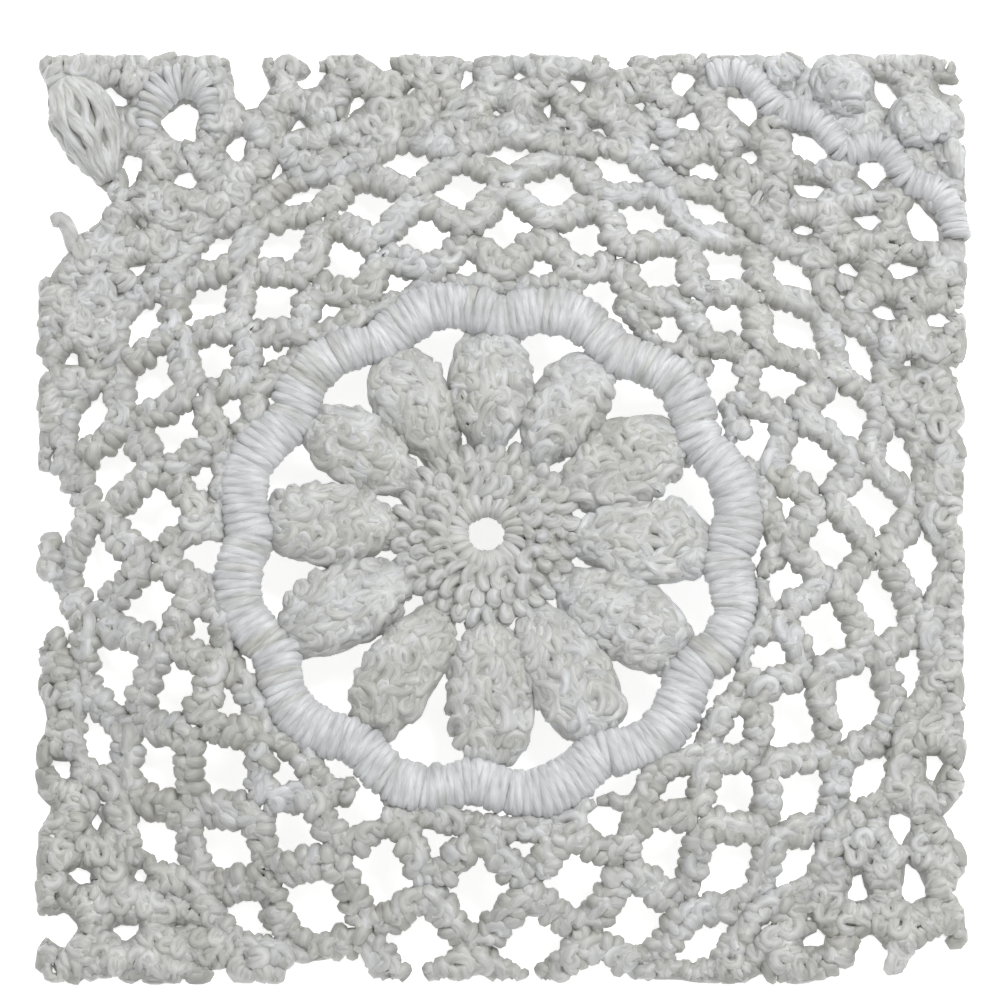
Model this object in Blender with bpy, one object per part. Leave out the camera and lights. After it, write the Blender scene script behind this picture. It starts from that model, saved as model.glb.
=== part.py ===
"""Crochet lace doily, a cut length seen from close by.

A pierced net rises in a low dome. One twelve-petal flower with a scalloped cord sits in its middle, and the
edges of two more motifs lie in the upper corners. Tables and sizes are in millimetres, and angles in degrees
from +X. +Z is up, and the origin is at the middle of the cloth, on the surface that it lies on.
"""

import math

import bmesh
import bpy
from mathutils import Vector
from mathutils.geometry import delaunay_2d_cdt

MM = 0.001

# The net: its thickness, and the gap between pieces that are stitched together.
NET_THICKNESS = 2.4
SEAM_GAP = 0.35

# The low dome: flat on top under the flower, falling away to the surface that the rest lies on.
DOME_CENTRE = Vector((-2.0, -6.0))
DOME_HEIGHT = 8.0
DOME_TOP_RADIUS = 40.0
DOME_FOOT_RADIUS = 58.0
FOOT_POINTS = 48
FOOT_CLEARANCE = 2.0

# The scalloped cord round the flower.
RING_CENTRE = Vector((-1.8, -7.2))
SCALLOPS = 12
FIRST_JOINT_ANGLE = -3.0
STEPS_IN_SCALLOP = 8
RING_INNER_RADIUS = 27.5
RING_OUTER_RADIUS = 33.4
SCALLOP_RISE = 2.1
RING_HEIGHT = 4.2
RING_SIDES = 8

# The disc in the middle of the flower, turned about its eye.
DISC_CENTRE = Vector((-2.1, -5.5))
DISC_STEPS = 32
DISC_PROFILE = (  # radius, height
    (2.0, 0.7),
    (2.8, 0.0),
    (11.0, 0.0),
    (11.8, 1.3),
    (11.1, 3.0),
    (9.4, 3.9),
    (7.4, 3.1),
    (5.0, 3.7),
    (2.8, 3.2),
    (2.0, 2.2),
)

# The petals: where each points, and how wide it is.
PETAL_BASE_RADIUS = 12.3
PETAL_TIP_RADIUS = 27.0
PETAL_HEIGHT = 5.2
PETAL_SIDES = 10
PETALS = (  # angle, width
    (-3.0, 9.6),
    (27.2, 9.6),
    (57.6, 9.4),
    (88.1, 9.6),
    (118.1, 9.4),
    (146.2, 9.0),
    (176.3, 9.8),
    (-151.8, 9.6),
    (-119.7, 9.8),
    (-88.9, 9.8),
    (-59.9, 9.6),
    (-31.4, 9.4),
)
PETAL_STATIONS = (  # share of length, share of width, share of height
    (0.0, 0.46, 0.50),
    (0.12, 0.64, 0.78),
    (0.34, 0.90, 0.95),
    (0.56, 1.00, 1.00),
    (0.76, 0.86, 0.92),
    (0.91, 0.58, 0.70),
    (1.0, 0.26, 0.40),
)

# The net's largest openings lie on rounds about one centre, and are spaced evenly as seen from another.
ROUND_CENTRE = Vector((-1.5, -7.9))
SPOKE_CENTRE = Vector((-1.35, -4.65))
CELLS_IN_ROUND = 24
ROUNDS = (  # radius, first angle, size outward, size along the round
    (43.5, 12.8, 4.7, 5.2),
    (50.4, 4.9, 4.7, 6.2),
    (56.1, 12.3, 2.5, 5.1),
)
OPENING_SIDES = 8
OPENING_SQUARENESS = 0.75
LOOSE_SIDE_ANGLE = -65.0
LOOSENESS = 0.16

# The net's cut edge, from the lower left corner round to the upper right corner's cord.
LOWER_RIGHT_EDGE = (  # x, y
    (-58.9, -62.1),
    (-20.0, -62.1),
    (20.0, -62.1),
    (46.0, -62.1),
    (54.5, -60.6),
    (58.6, -54.0),
    (59.3, -40.0),
    (60.0, -10.0),
    (60.6, 18.0),
    (60.8, 29.0),
)
# And from there round the upper left corner, past a bay in the top edge, an arch's feet and a small picot.
UPPER_LEFT_EDGE = (  # x, y
    (24.0, 58.8),
    (23.0, 62.1),
    (0.0, 62.1),
    (-29.6, 62.1),
    (-30.2, 57.9),
    (-32.0, 54.6),
    (-35.2, 52.8),
    (-40.0, 51.8),
    (-42.4, 50.2),
    (-46.0, 50.4),
    (-49.6, 50.2),
    (-50.2, 47.2),
    (-50.2, 44.0),
    (-52.6, 41.6),
    (-54.4, 38.4),
    (-56.6, 37.6),
    (-57.4, 39.9),
    (-59.4, 39.4),
    (-59.2, 36.6),
    (-60.9, 34.6),
    (-60.2, 0.0),
    (-59.5, -30.0),
)

# The wrapped cord of the upper right motif: a line of four arches.
RIGHT_CORD_MIDDLE = (  # x, y
    (27.6, 58.6),
    (29.6, 59.2),
    (31.7, 58.9),
    (34.2, 57.0),
    (36.4, 54.1),
    (38.7, 53.6),
    (41.3, 52.9),
    (43.5, 50.5),
    (45.2, 48.4),
    (47.3, 48.9),
    (49.8, 49.2),
    (51.8, 47.3),
    (52.9, 44.8),
    (55.0, 43.8),
    (57.5, 42.7),
    (59.0, 39.8),
    (59.8, 36.4),
)
RIGHT_CORD_STEPS_BETWEEN = 2
RIGHT_CORD_WIDTH = 4.2
RIGHT_CORD_HEIGHT = 3.8
RIGHT_CORD_SEAM = 0.65

# The other corner pieces, each along its own spine.
CORNER_SIDES = 8
CORNER_PIECES = {  # x, y, width, height
    "right_petal_1": (
        (38.0, 57.6, 1.6, 2.6),
        (37.7, 58.9, 2.8, 3.8),
        (37.3, 60.4, 3.2, 4.0),
        (37.1, 61.9, 2.4, 3.2),
    ),
    "right_petal_2": (
        (42.6, 56.1, 2.8, 2.8),
        (43.4, 56.5, 6.2, 4.6),
        (44.6, 57.2, 7.6, 5.2),
        (46.0, 58.4, 6.2, 4.4),
        (47.1, 59.4, 3.2, 2.8),
    ),
    "right_petal_3": (
        (52.6, 51.4, 2.6, 2.6),
        (53.4, 51.8, 5.4, 4.6),
        (55.1, 52.4, 6.8, 5.2),
        (57.3, 53.1, 5.4, 4.4),
        (58.9, 53.8, 2.4, 2.8),
    ),
    "right_petal_4": (
        (59.8, 45.6, 1.6, 2.4),
        (59.5, 46.9, 3.0, 3.6),
        (59.4, 48.4, 3.4, 3.8),
        (59.4, 50.0, 2.2, 2.8),
    ),
    "left_leaf": (
        (-57.4, 58.4, 3.0, 2.8),
        (-56.9, 56.6, 5.6, 4.6),
        (-55.6, 53.4, 7.8, 5.4),
        (-54.5, 50.4, 7.6, 5.4),
        (-53.3, 47.4, 5.2, 4.4),
        (-52.1, 45.0, 2.8, 2.8),
    ),
    "left_cord": (
        (-47.2, 51.4, 2.6, 3.0),
        (-47.1, 53.4, 3.8, 3.6),
        (-46.2, 55.9, 4.8, 4.2),
        (-44.1, 58.0, 5.2, 4.4),
        (-41.4, 58.0, 4.6, 4.2),
        (-39.7, 56.3, 3.2, 3.8),
        (-39.1, 53.8, 2.2, 3.0),
    ),
    "left_band": (
        (-41.0, 61.3, 1.2, 1.8),
        (-38.5, 60.5, 2.2, 2.4),
        (-36.6, 58.0, 2.2, 2.6),
        (-36.0, 55.2, 1.8, 2.4),
    ),
}

# The bits of net inside the two corner motifs.
LEFT_NET_OUTLINE = (  # x, y
    (-61.4, 62.0),
    (-61.3, 60.4),
    (-57.0, 60.0),
    (-51.5, 59.0),
    (-49.2, 60.6),
    (-47.8, 62.0),
)
RIGHT_NET_OUTLINE = (  # x, y
    (49.2, 62.0),
    (49.8, 60.3),
    (52.9, 58.8),
    (55.2, 57.7),
    (58.6, 58.6),
    (61.4, 57.4),
    (61.3, 59.0),
    (58.7, 62.0),
)

COTTON_COLOUR = (0.62, 0.63, 0.62)
SHADED_COTTON_COLOUR = (0.54, 0.55, 0.54)
ROUGHNESS = 0.85
SMOOTH_ANGLE = math.radians(50)

# How the sheet is cut into triangles: all of the plane, with points this near each other taken as one.
WHOLE_PLANE = 0
SAME_POINT = 1e-6


def clear_scene():
    """Removes whatever the scene starts with."""
    for old in list(bpy.data.objects):
        bpy.data.objects.remove(old, do_unlink=True)


def cotton(name, colour):
    """A matt cotton finish of this colour."""
    finish = bpy.data.materials.new(name + "_cotton")
    finish.use_nodes = True
    shader = finish.node_tree.nodes["Principled BSDF"]
    shader.inputs["Base Color"].default_value = (*colour, 1.0)
    shader.inputs["Roughness"].default_value = ROUGHNESS
    shader.inputs["Metallic"].default_value = 0.0
    return finish


def direction(angle):
    """The unit vector at this angle."""
    return Vector((math.cos(math.radians(angle)), math.sin(math.radians(angle))))


def lift(point):
    """How high the cloth's underside is above the surface at this point."""
    out = (point - DOME_CENTRE).length - DOME_TOP_RADIUS
    fall = min(max(out / (DOME_FOOT_RADIUS - DOME_TOP_RADIUS), 0.0), 1.0)
    return DOME_HEIGHT * (1.0 - fall * fall * (3.0 - 2.0 * fall))


def on_circle(centre, radius, start, angle):
    """Where a ray from start, at this angle, meets the circle."""
    ray = direction(angle)
    offset = start - centre
    along = -offset.dot(ray)
    return start + ray * (along + math.sqrt(along**2 - offset.length_squared + radius**2))


def finished(name, mesh, parent, colour=COTTON_COLOUR):
    """The named object of this mesh, shaded smooth and dressed in its own cotton."""
    obj = bpy.data.objects.new(name, mesh)
    bpy.context.scene.collection.objects.link(obj)
    obj.parent = parent
    mesh.materials.append(cotton(name, colour))
    mesh.shade_smooth()
    mesh.set_sharp_from_angle(angle=SMOOTH_ANGLE)
    return obj


def lofted(name, sections, parent, closed=False):
    """A solid through these sections of equal point counts: a closed loop, or capped at both ends."""
    work = bmesh.new()
    rings = [[work.verts.new(point * MM) for point in section] for section in sections]
    following = rings[1:] + rings[:1] if closed else rings[1:]
    for ring, after in zip(rings, following):
        for i in range(len(ring)):
            j = (i + 1) % len(ring)
            work.faces.new((ring[i], ring[j], after[j], after[i]))
    if not closed:
        work.faces.new(rings[0])
        work.faces.new(rings[-1])
    bmesh.ops.recalc_face_normals(work, faces=work.faces)
    mesh = bpy.data.meshes.new(name)
    work.to_mesh(mesh)
    work.free()
    return finished(name, mesh, parent)


def oval(middle, across, width, height, sides):
    """A section: an oval of this width and height that stands on the cloth's underside."""
    level = lift(middle) + height / 2
    points = []
    for i in range(sides):
        turn = 2 * math.pi * (i + 0.5) / sides
        flat = middle + across * (width / 2 * math.cos(turn))
        points.append(Vector((flat.x, flat.y, level + height / 2 * math.sin(turn))))
    return points


def spindle(name, spine, sides, parent):
    """A padded piece along a spine of x, y, width and height."""
    middles = [Vector(row[:2]) for row in spine]
    sections = []
    for i, (_, _, width, height) in enumerate(spine):
        ahead = middles[min(i + 1, len(middles) - 1)]
        behind = middles[max(i - 1, 0)]
        along = (ahead - behind).normalized()
        sections.append(oval(middles[i], along.orthogonal(), width, height, sides))
    return lofted(name, sections, parent)


def inside(point, loop):
    """Whether the point lies inside the closed loop."""
    crossings = 0
    for start, end in zip(loop, loop[1:] + loop[:1]):
        if (start.y > point.y) != (end.y > point.y):
            at = start.x + (point.y - start.y) / (end.y - start.y) * (end.x - start.x)
            crossings += at > point.x
    return crossings % 2 == 1


def pierced_sheet(name, outline, openings, free_points, parent):
    """A sheet of the net's thickness with this outline and these openings, laid over the dome."""
    points = []
    edges = []
    for loop in [outline, *openings]:
        first = len(points)
        points += loop
        edges += [(first + i, first + (i + 1) % len(loop)) for i in range(len(loop))]
    found = delaunay_2d_cdt(points + free_points, edges, [], WHOLE_PLANE, SAME_POINT)
    corners, triangles = found[0], found[2]
    work = bmesh.new()
    verts = [work.verts.new(Vector((p.x, p.y, lift(p))) * MM) for p in corners]
    for triangle in triangles:
        middle = sum((corners[i] for i in triangle), Vector((0.0, 0.0))) / len(triangle)
        if inside(middle, outline) and not any(inside(middle, loop) for loop in openings):
            work.faces.new([verts[i] for i in triangle])
    bmesh.ops.delete(work, geom=[v for v in work.verts if not v.link_faces], context="VERTS")
    bmesh.ops.recalc_face_normals(work, faces=work.faces)
    if sum(face.normal.z for face in work.faces) < 0:
        bmesh.ops.reverse_faces(work, faces=work.faces)
    mesh = bpy.data.meshes.new(name)
    work.to_mesh(mesh)
    work.free()
    sheet = finished(name, mesh, parent, SHADED_COTTON_COLOUR)
    thickness = sheet.modifiers.new("thickness", "SOLIDIFY")
    thickness.thickness = NET_THICKNESS * MM
    thickness.offset = 1.0
    return sheet


def scallop(angle):
    """How far the cord bulges out at this angle, from 0 at a joint to SCALLOP_RISE between two."""
    return SCALLOP_RISE * abs(math.sin(math.radians((angle - FIRST_JOINT_ANGLE) * SCALLOPS / 2)))


def ring_angles():
    """The angles at which the scalloped cord is sampled, each joint among them."""
    steps = SCALLOPS * STEPS_IN_SCALLOP
    return [FIRST_JOINT_ANGLE + 360.0 * i / steps for i in range(steps)]


def round_opening(radius, angle, outward, along):
    """One opening of the net, a rounded four-sided hole, a little larger on the loose side."""
    middle = on_circle(ROUND_CENTRE, radius, SPOKE_CENTRE, angle)
    out = (middle - ROUND_CENTRE).normalized()
    side = out.orthogonal()
    grown = 1.0 + LOOSENESS * math.cos(math.radians(angle - LOOSE_SIDE_ANGLE))
    points = []
    for i in range(OPENING_SIDES):
        turn = 2 * math.pi * (i + 0.5) / OPENING_SIDES
        x = math.copysign(abs(math.cos(turn)) ** OPENING_SQUARENESS, math.cos(turn))
        y = math.copysign(abs(math.sin(turn)) ** OPENING_SQUARENESS, math.sin(turn))
        points.append(middle + grown / 2 * (out * outward * x + side * along * y))
    return points


def net_openings():
    """The flower's place and the three rounds of large openings."""
    flower_place = []
    for angle in ring_angles():
        radius = RING_OUTER_RADIUS + scallop(angle) + SEAM_GAP
        flower_place.append(RING_CENTRE + direction(angle) * radius)
    openings = [flower_place]
    pitch = 360.0 / CELLS_IN_ROUND
    for radius, first, outward, along in ROUNDS:
        for i in range(CELLS_IN_ROUND):
            openings.append(round_opening(radius, first + pitch * i, outward, along))
    return openings


def soft_line(rows, steps):
    """Points along a soft curve through the rows, this many steps from each row to the next."""
    given = [Vector(row) for row in rows]
    padded = [2 * given[0] - given[1], *given, 2 * given[-1] - given[-2]]
    points = []
    for before, start, end, after in zip(padded, padded[1:], padded[2:], padded[3:]):
        for i in range(steps):
            share = i / steps
            straight = (end - before) * share
            square = (2 * before - 5 * start + 4 * end - after) * share**2
            cubic = (3 * start - before - 3 * end + after) * share**3
            points.append(start + (straight + square + cubic) / 2)
    return points + given[-1:]


def right_cord_outward():
    """The direction across the right cord, to the upper right."""
    run = Vector(RIGHT_CORD_MIDDLE[-1]) - Vector(RIGHT_CORD_MIDDLE[0])
    return Vector((-run.y, run.x)).normalized()


def foot_points(outline, openings):
    """Points along the dome's foot, where the net meets the surface, clear of openings and edges."""
    edge_points = [point for loop in [outline, *openings] for point in loop]
    kept = []
    for i in range(FOOT_POINTS):
        angle = 360.0 * i / FOOT_POINTS
        point = DOME_CENTRE + direction(angle) * DOME_FOOT_RADIUS
        if inside(point, outline) and min((point - other).length for other in edge_points) > FOOT_CLEARANCE:
            kept.append(point)
    return kept


def net_ground(parent):
    """The net itself, whose edge follows the right cord's arches in the upper right corner."""
    aside = right_cord_outward() * -(RIGHT_CORD_WIDTH / 2 + RIGHT_CORD_SEAM)
    along_cord = [point + aside for point in soft_line(RIGHT_CORD_MIDDLE, RIGHT_CORD_STEPS_BETWEEN)]
    outline = [Vector(point) for point in LOWER_RIGHT_EDGE]
    outline += reversed(along_cord)
    outline += [Vector(point) for point in UPPER_LEFT_EDGE]
    openings = net_openings()
    return pierced_sheet("net_ground", outline, openings, foot_points(outline, openings), parent)


def ring_cord(parent):
    """The raised cord round the flower, twelve scallops that pinch in where the petals meet it."""
    sections = []
    for angle in ring_angles():
        inner = RING_INNER_RADIUS + scallop(angle)
        outer = RING_OUTER_RADIUS + scallop(angle)
        outward = direction(angle)
        middle = RING_CENTRE + outward * (inner + outer) / 2
        sections.append(oval(middle, outward, outer - inner, RING_HEIGHT, RING_SIDES))
    return lofted("ring_cord", sections, parent, closed=True)


def flower_centre(parent):
    """The thick disc in the middle, with a crown of stitches in each of its two rounds."""
    base = lift(DISC_CENTRE)
    sections = []
    for i in range(DISC_STEPS):
        outward = direction(360.0 * i / DISC_STEPS)
        section = []
        for radius, height in DISC_PROFILE:
            flat = DISC_CENTRE + outward * radius
            section.append(Vector((flat.x, flat.y, base + height)))
        sections.append(section)
    return lofted("flower_centre", sections, parent, closed=True)


def petal(name, angle, width, parent):
    """One padded petal, from the disc's rim to the cord."""
    start = DISC_CENTRE + direction(angle) * PETAL_BASE_RADIUS
    tip = on_circle(RING_CENTRE, PETAL_TIP_RADIUS, DISC_CENTRE, angle)
    spine = []
    for share, width_share, height_share in PETAL_STATIONS:
        middle = start.lerp(tip, share)
        spine.append((middle.x, middle.y, width * width_share, PETAL_HEIGHT * height_share))
    return spindle(name, spine, PETAL_SIDES, parent)


def right_cord(parent):
    """The wrapped cord of the upper right motif."""
    across = right_cord_outward()
    sections = []
    for middle in soft_line(RIGHT_CORD_MIDDLE, RIGHT_CORD_STEPS_BETWEEN):
        sections.append(oval(middle, across, RIGHT_CORD_WIDTH, RIGHT_CORD_HEIGHT, CORNER_SIDES))
    return lofted("right_cord", sections, parent)


def main():
    """Builds every piece of the doily under one empty."""
    clear_scene()
    doily = bpy.data.objects.new("doily", None)
    bpy.context.scene.collection.objects.link(doily)
    net_ground(doily)
    ring_cord(doily)
    flower_centre(doily)
    for number, (angle, width) in enumerate(PETALS, start=1):
        petal(f"petal_{number:02d}", angle, width, doily)
    right_cord(doily)
    for name, spine in CORNER_PIECES.items():
        spindle(name, spine, CORNER_SIDES, doily)
    pierced_sheet("left_net", [Vector(p) for p in LEFT_NET_OUTLINE], [], [], doily)
    pierced_sheet("right_net", [Vector(p) for p in RIGHT_NET_OUTLINE], [], [], doily)


main()
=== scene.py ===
"""Looks of the crochet lace doily: every cord, loop and petal is worked in cotton thread.

Sizes are in millimetres in the doily's own frame, and angles in degrees from +X.
"""

import logging
import math
from collections.abc import Sequence
from dataclasses import dataclass, field
from enum import Enum

import bpy
import numpy as np
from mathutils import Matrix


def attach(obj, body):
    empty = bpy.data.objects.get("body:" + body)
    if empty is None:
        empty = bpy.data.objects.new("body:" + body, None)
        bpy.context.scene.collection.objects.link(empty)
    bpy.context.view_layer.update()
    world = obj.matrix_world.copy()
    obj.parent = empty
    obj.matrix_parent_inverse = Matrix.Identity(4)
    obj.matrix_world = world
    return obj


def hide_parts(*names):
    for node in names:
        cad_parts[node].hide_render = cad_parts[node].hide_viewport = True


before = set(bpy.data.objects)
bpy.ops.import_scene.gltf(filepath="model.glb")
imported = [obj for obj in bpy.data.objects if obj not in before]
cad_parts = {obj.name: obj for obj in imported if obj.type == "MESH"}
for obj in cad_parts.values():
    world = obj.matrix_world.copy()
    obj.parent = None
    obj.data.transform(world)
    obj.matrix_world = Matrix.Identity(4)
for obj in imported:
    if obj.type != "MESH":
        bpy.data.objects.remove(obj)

Array = np.ndarray
Tree = bpy.types.NodeTree
Socket = bpy.types.NodeSocket
MM = 0.001
BODY = "root"
SEED = 12
UNDER_SHADE = -0.1  # painted shade: threads that lie under others are coloured darker
CURVE_STEPS = 12
OPENING_WAVES = ((3, 0.12, 1.7), (5, 0.07, 2.3))  # waves round an opening, depth, shift a millimetre
OPENING_POINTS = 21
log = logging.getLogger("doily")


def direction(angle: float | Array) -> Array:
    """The flat unit vector at an angle in degrees; an array of angles gives an array of vectors."""
    turn = np.radians(angle)
    return np.stack([np.cos(turn), np.sin(turn)], axis=-1)


def unit(vectors: Array) -> Array:
    """Vectors scaled to length one along their last axis."""
    return vectors / np.maximum(np.linalg.norm(vectors, axis=-1, keepdims=True), 1e-9)


def smooth_step(share: Array) -> Array:
    """A soft ramp from 0 to 1 over the shares 0 to 1."""
    held = np.clip(share, 0.0, 1.0)
    return held * held * (3.0 - 2.0 * held)


def along_length(points: Array) -> Array:
    """Distance travelled along a line of points, starting at 0."""
    steps = np.linalg.norm(np.diff(points, axis=0), axis=1)
    return np.concatenate([[0.0], np.cumsum(steps)])


def sampled(rows: Array, travelled: Array, wanted: Array) -> Array:
    """Rows read off, column by column, at the wanted distances."""
    return np.stack([np.interp(wanted, travelled, column) for column in rows.T], axis=1)


def facing(angle: float, towards: float) -> float:
    """How far an angle points the way of another, in degrees: 1 along it, -1 against it."""
    return math.cos(math.radians(angle - towards))


def across_line(line: Array) -> Array:
    """Level unit vectors across a line of points, to its right."""
    ahead = unit(np.gradient(line, axis=0))
    return np.column_stack([ahead[:, 1], -ahead[:, 0], np.zeros(len(line))])


def smooth_curve(rows: Sequence[Sequence[float]], count: int) -> Array:
    """A soft curve through given rows, by Catmull-Rom blending.

    Args:
        rows: two or more rows that the curve passes through, such as x, y, width and height.
        count: how many rows to return.

    Returns:
        Rows along the curve, evenly spaced by their x and y.
    """
    given = np.array(rows, float)
    padded = np.concatenate([[2 * given[0] - given[1]], given, [2 * given[-1] - given[-2]]])
    share = np.linspace(0.0, 1.0, CURVE_STEPS, endpoint=False)[:, None]
    pieces = []
    for a, b, c, d in zip(padded, padded[1:], padded[2:], padded[3:]):
        cubic = 3 * b - a - 3 * c + d
        square = 2 * a - 5 * b + 4 * c - d
        pieces.append(0.5 * (2 * b + (c - a) * share + square * share**2 + cubic * share**3))
    pieces.append(given[-1:])
    curve = np.concatenate(pieces)
    travelled = along_length(curve[:, :2])
    return sampled(curve, travelled, np.linspace(0.0, travelled[-1], count))


def drifting(rng: np.random.Generator, count: int, knots: int, amount: float) -> Array:
    """A smooth random line of numbers.

    Args:
        rng: the source of chance.
        count: how many numbers to return.
        knots: how many times the line changes its mind.
        amount: the spread of the numbers.

    Returns:
        The numbers, about zero.
    """
    values = rng.normal(0.0, amount, max(knots, 2))
    return np.interp(np.linspace(0, len(values) - 1, count), np.arange(len(values)), values)


class CottonShade(Enum):
    """The tints of off-white that cotton thread shows, as linear base colours. WARM and COOL serve as the
    thread's own tints and also as painted shade and painted light; the darkest is painted shade for creases
    and hollows.
    """

    COOL = (0.535, 0.545, 0.56)
    PLAIN = (0.495, 0.50, 0.49)
    WARM = (0.43, 0.43, 0.405)
    CREASE = (0.20, 0.195, 0.17)


@dataclass(frozen=True)
class CottonFinish:
    """Plied cotton: twisted plies, fine fibres, a soft sheen, and painted warm grey shade in its hollows,
    its ply grooves and soft patches, with painted highlights along the fibres.
    """

    name: str
    shade: CottonShade = CottonShade.PLAIN
    plies: int = 3
    lay_mm: float = 4.4
    ply_depth_mm: float = 0.12
    fibre_depth_mm: float = 0.14
    fibre_stretch: float = 0.3
    fibre_scale: float = 3.6
    fibre_detail: float = 3.0
    mottle_scale: float = 80.0
    mottle_detail: float = 3.0
    warm_until: float = 0.15
    cool_from: float = 0.85
    # painted shade in soft patches a few millimetres across
    shade_patch_scale: float = 320.0
    shade_patch_detail: float = 1.0
    # ranges of painted shade in the ply grooves, painted highlights and shade along the fibres, and painted
    # shade in the soft patches
    groove_shade_range: tuple[float, float] = (0.18, 0.86)
    fibre_highlight_and_shade: tuple[float, float] = (0.5, 0.75)
    patch_shade_range: tuple[float, float] = (0.6, 0.68)
    bump_strength: float = 0.9
    roughness: float = 0.5
    gloss: float = 0.6
    sheen: float = 0.2
    sheen_roughness: float = 0.45
    glow_through: float = 0.45
    glow_reach_m: float = 0.0012
    glow_tint: tuple[float, float, float] = (1.0, 0.95, 0.85)

    def material(self) -> bpy.types.Material:
        """Builds the node material, which reads each thread's own coordinates, its tone, with painted light
        and shade in it, and its painted shade in creases and hollows.

        Returns:
            The material.
        """
        made = bpy.data.materials.new(self.name)
        made.use_nodes = True
        tree = made.node_tree
        shader = tree.nodes["Principled BSDF"]
        shader.inputs["Roughness"].default_value = self.roughness
        shader.inputs["Sheen Weight"].default_value = self.sheen
        shader.inputs["Sheen Roughness"].default_value = self.sheen_roughness
        shader.inputs["Specular IOR Level"].default_value = self.gloss
        shader.subsurface_method = "BURLEY"
        shader.inputs["Subsurface Weight"].default_value = self.glow_through
        shader.inputs["Subsurface Radius"].default_value = self.glow_tint
        shader.inputs["Subsurface Scale"].default_value = self.glow_reach_m
        tree.links.new(self._colour(tree), shader.inputs["Base Color"])
        tree.links.new(self._bump(tree), shader.inputs["Normal"])
        return made

    def _math(self, tree: Tree, kind: str, *values: Socket | float) -> Socket:
        """Adds a maths node.

        Args:
            tree: the material's node tree.
            kind: the sum that the node does.
            values: what it works on, each a socket or a number.

        Returns:
            The node's output.
        """
        node = tree.nodes.new("ShaderNodeMath")
        node.operation = kind
        for socket, value in zip(node.inputs, values):
            if isinstance(value, (int, float)):
                socket.default_value = value
            else:
                tree.links.new(value, socket)
        return node.outputs[0]

    def _attribute(self, tree: Tree, name: str) -> Socket:
        """Reads a number that the mesh carries.

        Args:
            tree: the material's node tree.
            name: the attribute's name.

        Returns:
            The number's socket.
        """
        node = tree.nodes.new("ShaderNodeAttribute")
        node.attribute_name = name
        return node.outputs["Fac"]

    def _thread(self, tree: Tree) -> tuple[Socket, Socket]:
        """Reads the thread's own coordinates.

        Args:
            tree: the material's node tree.

        Returns:
            The distance along the thread in millimetres, and the share of a turn round it.
        """
        node = tree.nodes.new("ShaderNodeUVMap")
        node.uv_map = "thread"
        split = tree.nodes.new("ShaderNodeSeparateXYZ")
        tree.links.new(node.outputs["UV"], split.inputs[0])
        return split.outputs["X"], split.outputs["Y"]

    def _noise(self, tree: Tree, vector: Socket, scale: float, detail: float) -> Socket:
        """Adds a noise.

        Args:
            tree: the material's node tree.
            vector: where it is read.
            scale: how fine it is.
            detail: how many finer octaves it has.

        Returns:
            The noise's factor, from 0 to 1.
        """
        node = tree.nodes.new("ShaderNodeTexNoise")
        node.inputs["Scale"].default_value = scale
        node.inputs["Detail"].default_value = detail
        tree.links.new(vector, node.inputs["Vector"])
        return node.outputs["Fac"]

    def _fibres(self, tree: Tree) -> Socket:
        """Fine fibres: noise drawn out along the twisted plies, with no seam round the thread.

        Args:
            tree: the material's node tree.

        Returns:
            The fibres' height, from 0 to 1.
        """
        along, around = self._thread(tree)
        turn = self._math(tree, "MULTIPLY", around, 2 * math.pi)
        twist = self._math(tree, "MULTIPLY", along, 2 * math.pi / (self.lay_mm * self.plies))
        turned = self._math(tree, "ADD", turn, twist)
        join = tree.nodes.new("ShaderNodeCombineXYZ")
        tree.links.new(self._math(tree, "MULTIPLY", along, self.fibre_stretch), join.inputs["X"])
        tree.links.new(self._math(tree, "COSINE", turned), join.inputs["Y"])
        tree.links.new(self._math(tree, "SINE", turned), join.inputs["Z"])
        return self._noise(tree, join.outputs[0], self.fibre_scale, self.fibre_detail)

    def _ply_height(self, tree: Tree) -> Socket:
        """The plies: rounded ridges that wind round the thread.

        Args:
            tree: the material's node tree.

        Returns:
            The plies' height, from 0 to 1.
        """
        along, around = self._thread(tree)
        turn = self._math(tree, "MULTIPLY", around, math.pi * self.plies)
        wind = self._math(tree, "MULTIPLY", along, math.pi / self.lay_mm)
        wave = self._math(tree, "SINE", self._math(tree, "ADD", turn, wind))
        return self._math(tree, "ABSOLUTE", wave)

    def _tinted(self, tree: Tree) -> Socket:
        """The cotton's tint from warm to cool: the strand's tone, which holds its own tint together with
        painted light and painted shade, and a broad mottle.

        Args:
            tree: the material's node tree.

        Returns:
            The tint's socket.
        """
        place = tree.nodes.new("ShaderNodeTexCoord").outputs["Object"]
        mottle = self._noise(tree, place, self.mottle_scale, self.mottle_detail)
        ramp = tree.nodes.new("ShaderNodeValToRGB")
        ends = ramp.color_ramp.elements
        ends[0].position = self.warm_until
        ends[0].color = (*CottonShade.WARM.value, 1.0)
        ends[1].position = self.cool_from
        ends[1].color = (*CottonShade.COOL.value, 1.0)
        ends.new(0.5).color = (*self.shade.value, 1.0)
        tone = self._attribute(tree, "tone")
        tree.links.new(self._math(tree, "ADD", tone, mottle), ramp.inputs[0])
        return ramp.outputs["Color"]

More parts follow.
